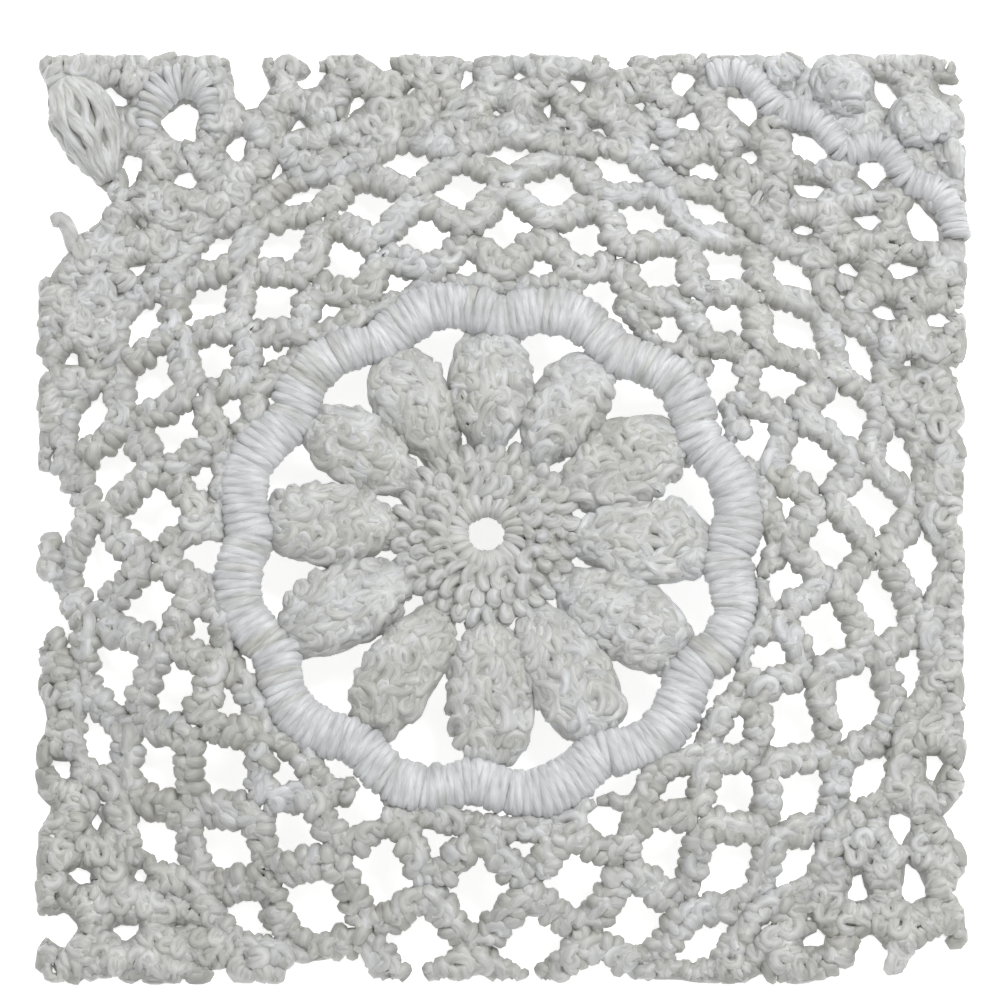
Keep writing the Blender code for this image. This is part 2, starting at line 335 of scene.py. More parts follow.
    def _colour(self, tree: Tree) -> Socket:
        """Base colour: the tint, with painted shade in creases and hollows, painted shade in the ply
        grooves, painted highlights and shade along the fibres and painted shade in soft patches.

        Args:
            tree: the material's node tree.

        Returns:
            The colour's socket.
        """
        shade_input, open_input, result = 6, 7, 2
        mixed = tree.nodes.new("ShaderNodeMix")
        mixed.data_type = "RGBA"
        mixed.inputs[shade_input].default_value = (*CottonShade.CREASE.value, 1.0)
        tree.links.new(self._tinted(tree), mixed.inputs[open_input])
        # painted shade in creases and hollows: the more of it a point carries, the nearer its colour comes
        # to the darkest shade
        unshaded = self._math(tree, "SUBTRACT", 1.0, self._attribute(tree, "painted_shade"))
        tree.links.new(unshaded, mixed.inputs[0])
        # painted shade in the ply grooves, and painted highlights and shade along the fibres
        groove_shade = self._math(tree, "MULTIPLY_ADD", self._ply_height(tree), *self.groove_shade_range)
        fibres = self._math(tree, "MULTIPLY_ADD", self._fibres(tree), *self.fibre_highlight_and_shade)
        # painted shade in soft patches a few millimetres across
        place = tree.nodes.new("ShaderNodeTexCoord").outputs["Object"]
        patches = self._noise(tree, place, self.shade_patch_scale, self.shade_patch_detail)
        patch_shade = self._math(tree, "MULTIPLY_ADD", patches, *self.patch_shade_range)
        # the painted shade and highlights of grooves, fibres and patches scale the colour
        detail = self._math(tree, "MULTIPLY", groove_shade, fibres)
        scaled = tree.nodes.new("ShaderNodeVectorMath")
        scaled.operation = "SCALE"
        tree.links.new(mixed.outputs[result], scaled.inputs[0])
        tree.links.new(self._math(tree, "MULTIPLY", detail, patch_shade), scaled.inputs["Scale"])
        return scaled.outputs["Vector"]

    def _bump(self, tree: Tree) -> Socket:
        """Surface relief: the plies and their fibres raised.

        Args:
            tree: the material's node tree.

        Returns:
            The normal's socket.
        """
        ridge = self._math(tree, "MULTIPLY", self._ply_height(tree), self.ply_depth_mm)
        fibre = self._math(tree, "MULTIPLY", self._fibres(tree), self.fibre_depth_mm)
        bump = tree.nodes.new("ShaderNodeBump")
        bump.inputs["Strength"].default_value = self.bump_strength
        bump.inputs["Distance"].default_value = MM
        tree.links.new(self._math(tree, "ADD", ridge, fibre), bump.inputs["Height"])
        return bump.outputs["Normal"]


@dataclass(frozen=True)
class Opening:
    """An oval opening: its middle, its half sizes and the angle of its length."""

    x: float
    y: float
    half_length: float
    half_width: float
    turn: float

    def _swell(self, turns: Array) -> Array:
        """How far out of true the outline is, each opening in its own way.

        Args:
            turns: turns round the opening, in radians.

        Returns:
            The outline's size there, as a share of the true oval's.
        """
        swell = np.ones_like(turns)
        for (waves, depth, shift), place in zip(OPENING_WAVES, (self.x, self.y)):
            swell = swell + depth * np.sin(waves * turns + shift * place)
        return swell

    def room(self, flat: Array) -> Array:
        """How far outside the opening flat points lie.

        Args:
            flat: flat points.

        Returns:
            The room at each point, negative inside.
        """
        away = flat - np.array([self.x, self.y])
        reach = np.maximum(np.linalg.norm(away, axis=-1), 1e-6)
        along = away @ direction(self.turn) / self.half_length
        across = away @ direction(self.turn + 90.0) / self.half_width
        share = np.hypot(along, across) / self._swell(np.arctan2(across, along))
        return reach * (1.0 - 1.0 / np.maximum(share, 1e-6))

    def ring(self, clear: float) -> Array:
        """A line round the opening.

        Args:
            clear: how far outside it the line runs.

        Returns:
            The line's flat points, closed.
        """
        turns = np.linspace(0.0, 360.0, OPENING_POINTS)
        circle = direction(turns) * self._swell(np.radians(turns))[:, None]
        circle = circle * [self.half_length + clear, self.half_width + clear]
        axes = np.stack([direction(self.turn), direction(self.turn + 90.0)])
        return np.array([self.x, self.y]) + circle @ axes


@dataclass(frozen=True)
class CutEdge:
    """The net's edge, as a closed outline of flat points, and the small openings inside it."""

    corners: Array
    openings: tuple[Opening, ...]

    def room(self, flat: Array) -> Array:
        """How far inside the edge and outside the openings flat points lie.

        Args:
            flat: flat points.

        Returns:
            The room at each point, negative beyond the edge and in an opening.
        """
        starts = self.corners
        runs = np.roll(starts, -1, axis=0) - starts
        offset = flat[:, None, :] - starts[None]
        share = np.clip((offset * runs).sum(-1) / (runs**2).sum(-1), 0.0, 1.0)
        distance = np.linalg.norm(offset - share[..., None] * runs, axis=-1).min(axis=1)
        ends = starts + runs
        crosses = (starts[:, 1] > flat[:, 1:2]) != (ends[:, 1] > flat[:, 1:2])
        level = np.where(runs[:, 1] == 0, 1.0, runs[:, 1])
        at = starts[:, 0] + (flat[:, 1:2] - starts[:, 1]) / level * runs[:, 0]
        inside = (crosses & (at > flat[:, 0:1])).sum(axis=1) % 2 == 1
        rooms = [np.where(inside, distance, -distance)]
        rooms += [opening.room(flat) for opening in self.openings]
        return np.minimum.reduce(rooms)


@dataclass
class Strand:
    """One run of thread: its middle line, and its thickness, tone and painted shade in creases and hollows
    at each point.
    """

    points: Array
    thickness: Array
    tone: Array
    painted_shade: Array
    closed: bool = False


class Yarn:
    """Strands of thread that become the tubes of one mesh.

    A strand ends this hem short of the cut edge, its ends are slimmer by the taper, and a piece of it with
    too few points is dropped. Nothing reaches below the table's height.
    """

    hem = 0.4
    taper = 0.7
    fewest_points = 4
    table = 0.02
    upright = 0.8

    def __init__(self, name: str, sides: int = 7, edge: CutEdge | None = None) -> None:
        """Starts an empty set of strands.

        Args:
            name: the piece's name.
            sides: how many sides a tube has.
            edge: the cut edge that ends the strands, if there is one.
        """
        self.name = name
        self.sides = sides
        self.edge = edge
        self.strands: list[Strand] = []

    def add(self, points: Array, thickness: float | Array, tone: float | Array = 0.0,
            painted_shade: float | Array = 0.0, closed: bool = False) -> None:
        """Adds a strand.

        Args:
            points: its middle line in millimetres.
            thickness: its diameter, one number or one for each point.
            tone: from -0.5, warm and dark, to 0.5, cool and light: the thread's own tint, with painted
                light and painted shade added.
            painted_shade: how much painted shade in creases and hollows shows, from 0 to 1.
            closed: whether the line is a closed loop.
        """
        def spread(value: float | Array) -> Array:
            """The value at every point of the line."""
            return np.broadcast_to(np.asarray(value, float), (len(points),)).copy()

        wide = spread(thickness)
        if not closed:
            wide[[0, -1]] *= self.taper
        whole = Strand(np.asarray(points, float), wide, spread(tone), spread(painted_shade), closed)
        self.strands += [whole] if self.edge is None else self._cut(whole)

    def _cut(self, strand: Strand) -> list[Strand]:
        """Cuts a strand at the cut edge.

        Args:
            strand: an open strand.

        Returns:
            Its parts that lie inside, in order.
        """
        inside = self.edge.room(strand.points[:, :2]) > self.hem
        if inside.all():
            return [strand]
        changes = np.flatnonzero(np.diff(np.concatenate([[0], inside.astype(int), [0]])))
        columns = (strand.points, strand.thickness, strand.tone, strand.painted_shade)
        return [
            Strand(*(column[start:end] for column in columns))
            for start, end in changes.reshape(-1, 2) if end - start >= self.fewest_points
        ]

    def _tangents(self, strand: Strand) -> Array:
        """The directions along a strand.

        Args:
            strand: the strand.

        Returns:
            A unit vector at each of its points.
        """
        if strand.closed:
            return unit(np.roll(strand.points, -1, axis=0) - np.roll(strand.points, 1, axis=0))
        return unit(np.gradient(strand.points, axis=0))

    def _frames(self) -> list[tuple[Array, Array]]:
        """Side directions of the strands, carried along with no twist.

        Returns:
            Two unit vectors at every point of every strand.
        """
        longest = max(len(s.points) for s in self.strands)
        tangents = np.zeros((len(self.strands), longest, 3))
        for row, strand in zip(tangents, self.strands):
            found = self._tangents(strand)
            row[: len(found)] = found
            row[len(found):] = found[-1]
        level = np.abs(tangents[:, 0, 2:3]) < self.upright
        guide = np.where(level, [[0.0, 0.0, 1.0]], [[1.0, 0.0, 0.0]])
        sides = np.zeros_like(tangents)
        side = guide
        for i in range(longest):
            ahead = tangents[:, i]
            side = unit(side - (side * ahead).sum(axis=1, keepdims=True) * ahead)
            sides[:, i] = side
        others = np.cross(tangents, sides)
        return [(a[: len(s.points)], b[: len(s.points)]) for a, b, s in zip(sides, others, self.strands)]

    def _tube(self, strand: Strand, side: Array, other: Array) -> tuple[Array, Array, Array]:
        """Makes one strand a tube.

        Args:
            strand: the strand.
            side: a side direction at each of its points.
            other: the second one.

        Returns:
            The tube's corners, its faces and the thread coordinates of the faces.
        """
        turns = 2 * np.pi * np.arange(self.sides) / self.sides
        ring = (np.cos(turns)[None, :, None] * side[:, None, :]
                + np.sin(turns)[None, :, None] * other[:, None, :])
        corners = strand.points[:, None, :] + ring * strand.thickness[:, None, None] / 2
        corners[..., 2] = np.maximum(corners[..., 2], self.table)
        count = len(strand.points)
        rows = count if strand.closed else count - 1
        i = np.repeat(np.arange(rows), self.sides)
        j = np.tile(np.arange(self.sides), rows)
        ahead, beside = (i + 1) % count, (j + 1) % self.sides
        faces = np.stack([i * self.sides + j, i * self.sides + beside,
                          ahead * self.sides + beside, ahead * self.sides + j], axis=1)
        path = np.vstack([strand.points, strand.points[:1]]) if strand.closed else strand.points
        travelled = along_length(path)
        low, high = travelled[i], travelled[i + 1]
        start, end = j / self.sides, (j + 1) / self.sides
        uv = np.stack([low, start, low, end, high, end, high, start], axis=1)
        return corners.reshape(-1, 3), faces, uv

    def piece(self, finish: bpy.types.Material, slot: str, nodes: Sequence[str] = ()) -> bpy.types.Object:
        """Makes the mesh piece, parents it to the body and hides the CAD parts that it stands for.

        Args:
            finish: its material.
            slot: a material slot's name; it is not used.
            nodes: the CAD nodes that it stands for.

        Returns:
            The new object, linked to the scene.
        """
        corners, quads, uvs, caps = [], [], [], []
        first = 0
        for strand, (side, other) in zip(self.strands, self._frames()):
            points, faces, uv = self._tube(strand, side, other)
            corners.append(points)
            quads.append(faces + first)
            uvs.append(uv)
            if not strand.closed:
                last = first + len(points) - self.sides
                caps += [np.arange(self.sides)[::-1] + first, np.arange(self.sides) + last]
            first += len(points)
        mesh = bpy.data.meshes.new(self.name)
        self._fill(mesh, np.concatenate(corners) * MM, np.concatenate(quads), np.concatenate(uvs), caps)
        for name in ("tone", "painted_shade"):
            values = np.concatenate([np.repeat(getattr(s, name), self.sides) for s in self.strands])
            mesh.attributes.new(name, "FLOAT", "POINT").data.foreach_set("value", values.astype(np.float32))
        mesh.materials.append(finish)
        made = bpy.data.objects.new(self.name, mesh)
        bpy.context.scene.collection.objects.link(made)
        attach(made, BODY)
        if nodes:
            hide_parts(*nodes)
        triangles = 2 * sum(len(q) for q in quads) + len(caps) * (self.sides - 2)
        log.info("%s: %d strands, %d triangles", self.name, len(self.strands), triangles)
        return made

    def _fill(self, mesh: bpy.types.Mesh, corners: Array, quads: Array, uvs: Array,
              caps: Sequence[Array]) -> None:
        """Writes corners, faces and thread coordinates into a mesh.

        Args:
            mesh: the mesh.
            corners: the corners in metres.
            quads: the faces with four corners.
            uvs: those faces' thread coordinates.
            caps: the faces that close the ends.
        """
        loops = np.concatenate([quads.reshape(-1), *caps])
        sizes = np.concatenate([np.full(len(quads), 4), np.full(len(caps), self.sides)]).astype(int)
        starts = np.concatenate([[0], np.cumsum(sizes)[:-1]])
        mesh.vertices.add(len(corners))
        mesh.vertices.foreach_set("co", corners.astype(np.float32).reshape(-1))
        mesh.loops.add(len(loops))
        mesh.loops.foreach_set("vertex_index", loops.astype(np.int32))
        mesh.polygons.add(len(sizes))
        mesh.polygons.foreach_set("loop_start", starts.astype(np.int32))
        mesh.polygons.foreach_set("use_smooth", np.ones(len(sizes), bool))
        mesh.update(calc_edges=True)
        flat = np.zeros((len(loops), 2), np.float32)
        flat[: len(quads) * 4] = uvs.reshape(-1, 2)
        mesh.uv_layers.new(name="thread").data.foreach_set("uv", flat.reshape(-1))
        mesh.validate()


@dataclass(frozen=True)
class Dome:
    """The low rise that lifts the flower off the surface, flat on top."""

    centre: tuple[float, float] = (-2.0, -6.0)
    height: float = 8.0
    top_radius: float = 40.0
    foot_radius: float = 58.0

    def lift(self, flat: Array) -> Array:
        """Height of the cloth's underside at these flat points."""
        out = np.linalg.norm(flat - np.array(self.centre), axis=-1) - self.top_radius
        return self.height * (1.0 - smooth_step(out / (self.foot_radius - self.top_radius)))

    def raised(self, flat: Array, above: float | Array = 0.0) -> Array:
        """Flat points set on the cloth, this far above its underside."""
        return np.concatenate([flat, (self.lift(flat) + above)[..., None]], axis=-1)

    def normals(self, flat: Array) -> Array:
        """The cloth's upward normals.

        Args:
            flat: flat points.

        Returns:
            A unit vector at each point.
        """
        step = 0.5
        shift_x, shift_y = np.array([step, 0.0]), np.array([0.0, step])
        slope_x = (self.lift(flat + shift_x) - self.lift(flat - shift_x)) / (2 * step)
        slope_y = (self.lift(flat + shift_y) - self.lift(flat - shift_y)) / (2 * step)
        return unit(np.stack([-slope_x, -slope_y, np.ones_like(slope_x)], axis=-1))


@dataclass(frozen=True)
class Loops:
    """A row of loops laid along a line: the size of one loop and how even they are."""

    half_width: float
    half_length: float
    tilt: float
    pitch: float
    thread: float
    yaw: float
    unevenness: float
    steps: int = 11
    phase: float = 0.5
    phase_drift: float = 0.5
    drift: float = 0.16
    thread_drift: float = 0.08
    tone_drift: float = 0.14
    crease: float = 0.3

    def work(self, yarn: Yarn, line: Array, ups: Array, rng: np.random.Generator,
             tone: float = 0.0, above: float = 0.0) -> None:
        """Lays the loops along a line.

        Args:
            yarn: the thread that they are worked in.
            line: the line's points.
            ups: the cloth's normals at those points.
            rng: the source of unevenness.
            tone: how cool and light they are.
            above: how far above the line they lie.
        """
        travelled = along_length(line)
        loops = max(2, round(travelled[-1] / self.pitch))
        turn = np.linspace(0.0, 2 * np.pi * loops, loops * self.steps + 1)
        place = turn / turn[-1] * travelled[-1]
        middle = sampled(line, travelled, place)
        up = unit(sampled(ups, travelled, place))
        tangent = unit(np.gradient(middle, axis=0))
        side = unit(np.cross(up, tangent))
        lean = rng.choice([-1.0, 1.0])

        def uneven(amount: float) -> Array:
            """A smooth random change along the row."""
            return drifting(rng, len(turn), loops + 2, amount)

        wide = self.half_width * (1 + uneven(self.unevenness)) * np.sin(turn)
        long = -self.half_length * (1 + uneven(self.unevenness)) * np.cos(turn)
        yaw = uneven(self.yaw)
        ahead = long * np.cos(yaw) - wide * np.sin(yaw)
        across = long * np.sin(yaw) + wide * np.cos(yaw) + uneven(self.drift)
        swing = np.cos(turn + self.phase + uneven(self.phase_drift))
        height = lean * self.tilt * swing + uneven(self.drift)
        points = middle + tangent * ahead[:, None] + side * across[:, None] + up * (height + above)[:, None]
        # painted shade: the low side of each loop is coloured darker
        painted_shade = np.clip(0.5 - height / (2 * self.tilt), 0.0, 1.0) * self.crease
        thickness = self.thread * (1 + uneven(self.thread_drift))
        yarn.add(points, thickness, tone + uneven(self.tone_drift), painted_shade)


@dataclass(frozen=True)
class Stitches:
    """A row of crochet stitches: short strands over both sides of a bar, and heads along its top."""

    pitch: float = 1.5
    thread: float = 1.9
    lean: float = 0.75
    profile: tuple[tuple[float, float], ...] = (
        (0.0, 0.20), (0.45, 0.50), (0.88, 0.38), (1.14, -0.05), (1.22, -0.65),
    )
    bow_from: float = 0.7
    place_change: float = 0.16
    width_change: float = 0.11
    height_change: float = 0.2
    thread_change: float = 0.13
    tone_change: float = 0.14
    # painted shade: how dark the low end of a stitch is coloured, at most and by its height
    deepest_crease_shade: float = 0.6
    crease: tuple[float, float] = (0.45, 0.6)
    heads: Loops = field(default_factory=lambda: Loops(
        half_width=0.70, half_length=1.0, tilt=0.3, pitch=2.3, thread=1.75, yaw=0.6, unevenness=0.16
    ))
    head_above: float = 0.46
    head_tone: float = 0.04

    def work(self, yarn: Yarn, line: Array, ups: Array, rng: np.random.Generator, wide: float = 1.0,
             tone: float = 0.0) -> None:
        """Works the stitches along a line.

        Args:
            yarn: the thread that they are worked in.
            line: the line's points.
            ups: the cloth's normals at those points.
            rng: the source of unevenness.
            wide: how much wider than usual the stitches are.
            tone: how cool and light they are.
        """
        for edge in (-1.0, 1.0):
            self._side(yarn, line, ups, rng, wide * edge, tone)
        self.heads.work(yarn, line, ups, rng, tone + self.head_tone, self.head_above)

    def _side(self, yarn: Yarn, line: Array, ups: Array, rng: np.random.Generator, wide: float,
              tone: float) -> None:
        """Works the short strands over one side.

        Args:
            yarn: the thread that they are worked in.
            line: the line's points.
            ups: the cloth's normals at those points.
            rng: the source of unevenness.
            wide: how much wider than usual they are; negative for the other side.
            tone: how cool and light they are.
        """
        travelled = along_length(line)
        count = max(2, round(travelled[-1] / self.pitch))
        astray = rng.normal(0.0, self.place_change, count)
        place = (np.arange(count) + 0.5 + astray) / count * travelled[-1]
        middle = sampled(line, travelled, place)
        up = unit(sampled(ups, travelled, place))
        tangent = unit(sampled(np.gradient(line, axis=0), travelled, place))
        side = unit(np.cross(up, tangent))
        profile = np.array(self.profile)
        # painted shade: each stitch is coloured darker towards its low end, down the side of the bar
        shallow, falling = self.crease
        painted_shade = np.clip(shallow - profile[:, 1] * falling, 0.0, self.deepest_crease_shade)
        for k in range(count):
            across = profile[:, 0] * wide * (1 + rng.normal(0.0, self.width_change))
            ahead = (profile[:, 0] - self.bow_from) * rng.normal(0.0, self.lean)
            above = profile[:, 1] + rng.normal(0.0, self.height_change)
            points = (middle[k] + side[k] * across[:, None] + tangent[k] * ahead[:, None]
                      + up[k] * above[:, None])
            thick = self.thread * (1 + rng.normal(0.0, self.thread_change))
            yarn.add(points, thick, tone + rng.normal(0.0, self.tone_change), painted_shade)


@dataclass(frozen=True)
class Wrapping:
    """Thread wound round a cord, turn beside turn."""

    pitch: float
    thread: float
    steps: int = 18
    place_drift: float = 0.2
    swell_drift: float = 0.06
    thread_drift: float = 0.12
    tone_drift: float = 0.16
    crease: float = 0.3

    def wind(self, yarn: Yarn, middle: Array, across: Array, half_width: float | Array,
             half_height: float | Array, rng: np.random.Generator, tone: float = 0.0) -> None:
        """Winds the thread.

        Args:
            yarn: the thread that it is wound in.
            middle: the cord's middle line.
            across: unit vectors across the cord, one a point.
            half_width: half of the cord's width over the thread, one number or one a point.
            half_height: half of its height over the thread, one number or one a point.
            rng: the source of unevenness.
            tone: how cool and light it is.
        """
        travelled = along_length(middle)
        turns = max(2, round(travelled[-1] / self.pitch))
        turn = np.linspace(0.0, 2 * np.pi * turns, turns * self.steps + 1)
        uneven_place = drifting(rng, len(turn), turns, self.place_drift)
        place = np.clip(turn / turn[-1] * travelled[-1] + uneven_place, 0.0, travelled[-1])
        even = np.ones(len(middle))
        columns = np.column_stack([middle, across, even * half_width, even * half_height])
        rows = sampled(columns, travelled, place)
        out = unit(rows[:, 3:6])
        swell = 1 + drifting(rng, len(turn), 2 * turns, self.swell_drift)
        wide = (rows[:, 6] - self.thread / 2) * swell
        high = (rows[:, 7] - self.thread / 2) * swell
        points = rows[:, :3] + out * (wide * np.cos(turn))[:, None]
        points[:, 2] += high * np.sin(turn)
        # painted shade: each wrap is coloured darker under the cord
        painted_shade = np.clip(-np.sin(turn), 0.0, 1.0) * self.crease
        thickness = self.thread * (1 + drifting(rng, len(turn), turns, self.thread_drift))
        yarn.add(points, thickness, tone + drifting(rng, len(turn), turns, self.tone_drift), painted_shade)


@dataclass(frozen=True)
class Level:
    """One circle of knots of the net: its radius, its first knot's angle and its number of knots."""

    radius: float
    first: float
    knots: int


@dataclass(frozen=True)
class Rope:
    """One round of arched bars between two levels of knots."""

    low: Level
    high: Level
    wide: float
    lap: float
    zone: int


@dataclass
class Net:
    """The openwork ground: arched bars from knot to knot in rounds, worked in loops over cords."""

    dome: Dome
    edge: CutEdge
    round_centre: tuple[float, float] = (-1.5, -7.9)
    spoke_centre: tuple[float, float] = (-1.35, -4.65)
    bar_height: float = 1.05
    lap_rise: float = 0.75
    wander: float = 0.45
    bar_points: int = 9
    arch: float = 0.85
    loose_angle: float = 30.0
    looseness: float = 0.06
    step: float = 0.8
    core_thread: float = 1.75
    core_aside: float = 0.85
    core_drop: float = 0.05
    core_drift: float = 0.08
    core_knots: int = 5
    core_under_shade: float = -0.05
    core_crease_shade: float = 0.25
    light_angle: float = 50.0
    light_tone: float = 0.05
    bar_tone: float = 0.08
    outside: float = -2.0
    stitches: Stitches = field(default_factory=Stitches)
    ropes: tuple[Rope, ...] = (
        Rope(Level(34.9, 5.0, 24), Level(37.1, 12.6, 24), 0.98, 0.5, 1),
        Rope(Level(37.1, 12.6, 24), Level(43.4, 5.3, 24), 1.19, 1.1, 1),
        Rope(Level(43.4, 5.3, 24), Level(50.3, 12.4, 24), 1.27, 1.2, 2),
        Rope(Level(50.3, 12.4, 24), Level(56.1, 4.8, 24), 1.27, 1.1, 2),
        Rope(Level(56.1, 4.8, 24), Level(59.8, 12.3, 24), 1.10, 0.6, 3),
    )

    def on_round(self, radius: Array, angle: Array) -> Array:
        """Where rays from the spoke centre meet rounds.

        Args:
            radius: the rounds' radii.
            angle: the angles of rays from the spoke centre.

        Returns:
            Flat points.
        """
        ray = direction(angle)
        offset = np.array(self.spoke_centre) - np.array(self.round_centre)
        along = -(ray @ offset)
        reach = along + np.sqrt(along**2 - offset @ offset + radius**2)
        return np.array(self.spoke_centre) + ray * reach[..., None]

    def _knots(self, level: Level) -> Array:
        """A level's knots, each a little out of true in its own fixed way.

        Args:
            level: the circle of knots.

        Returns:
            A row of angle and radius for each knot.
        """
        rng = np.random.default_rng([int(level.radius * 10), level.knots])
        angles = level.first + 360.0 * np.arange(level.knots) / level.knots
        astray = rng.normal(0.0, self.wander, (2, level.knots))
        return np.stack([angles + np.degrees(astray[0] / level.radius), level.radius + astray[1]], axis=1)

    def _bars(self, rope: Rope) -> list[Array]:
        """A rope's bars, from knot to knot.

        Args:
            rope: the round of bars.

        Returns:
            The bars in order, each with rows of angle, radius and lap over the bar below.
        """
        low, high = self._knots(rope.low), self._knots(rope.high)
        pitch = 360.0 / rope.low.knots
        ahead = (rope.high.first - rope.low.first) % pitch
        first = round((rope.low.first + ahead - rope.high.first) / pitch)
        share = np.linspace(0.0, 1.0, self.bar_points)
        ease = self.arch * (1 - np.cos(np.pi * share)) / 2 + (1 - self.arch) * share
        bars = []
        for i in range(rope.low.knots):
            start, middle = low[i], high[(i + first) % rope.high.knots]
            end = low[(i + 1) % rope.low.knots]
            for a, b, up in ((start, middle, ease), (middle, end, 1 - ease)):
                turn = (b[0] - a[0] + 180.0) % 360.0 - 180.0
                bottom, top = min(a[1], b[1]) + rope.lap, max(a[1], b[1]) - rope.lap
                radius = bottom + (top - bottom) * up
                bars.append(np.stack([a[0] + turn * share, radius, 1 - up], axis=1))
        return bars

    def _placed(self, bar: Array) -> tuple[Array, Array]:
        """Sets a bar on the cloth.

        Args:
            bar: rows of angle, radius and lap.

        Returns:
            The bar's points, and the cloth's normals there.
        """
        flat = self.on_round(bar[:, 1], bar[:, 0])
        above = self.bar_height + self.lap_rise * bar[:, 2]
        return self.dome.raised(flat, above), self.dome.normals(flat)

    def _even(self, line: Array, ups: Array) -> tuple[Array, Array]:
        """Spaces a line evenly.

        Args:
            line: the line's points.
            ups: the normals at those points.

        Returns:
            The same line and normals at even steps.
        """
        travelled = along_length(line)
        wanted = np.linspace(0.0, travelled[-1], max(6, int(travelled[-1] / self.step)))
        return sampled(line, travelled, wanted), sampled(ups, travelled, wanted)

    def _cords(self, yarn: Yarn, line: Array, ups: Array, rng: np.random.Generator) -> None:
        """Lays three cords along a line, under the stitches.

        Args:
            yarn: the thread of the cords.
            line: the line's points.
            ups: the cloth's normals at those points.
            rng: the source of unevenness.
        """
        side = unit(np.cross(ups, unit(np.gradient(line, axis=0))))
        for aside in (-self.core_aside, 0.0, self.core_aside):
            wander = drifting(rng, len(line), self.core_knots, self.core_drift)
            shift = (aside + wander)[:, None]
            cord = line + side * shift - ups * self.core_drop
            # painted shade: the cords under the stitches are coloured darker
            yarn.add(cord, self.core_thread, self.core_under_shade, self.core_crease_shade)

    def build(self, cords: Yarn, finish: bpy.types.Material,
              rng: np.random.Generator) -> list[bpy.types.Object]:
        """Builds the net.

        Args:
            cords: the thread of the cords under the stitches, which run on into the close work.
            finish: the cotton's material.
            rng: the source of unevenness.

        Returns:
            The pieces of stitches.
        """
        zones: dict[int, Yarn] = {}
        for rope in self.ropes:
            yarn = zones.setdefault(rope.zone, Yarn(f"net_stitches_{rope.zone}", edge=self.edge))
            for bar in self._bars(rope):
                line, ups = self._even(*self._placed(bar))
                if self.edge.room(line[:, :2]).max() < self.outside:
                    continue
                middle = line[:, :2].mean(axis=0) - np.array(self.round_centre)
                angle = math.degrees(math.atan2(middle[1], middle[0]))
                loose = facing(angle, self.loose_angle)
                lit = facing(angle, self.light_angle)
                tone = self.light_tone * lit + rng.normal(0.0, self.bar_tone)
                self._cords(cords, line, ups, rng)
                self.stitches.work(yarn, line, ups, rng, rope.wide * (1 - self.looseness * loose), tone)
        return [yarn.piece(finish, "net") for _, yarn in sorted(zones.items())]


class Quarter(Enum):
    """The parts that the close work is made in, and the CAD node that each one stands for."""

    UPPER_RIGHT = "right_net"
    UPPER_LEFT = "left_net"
    LOWER = ""


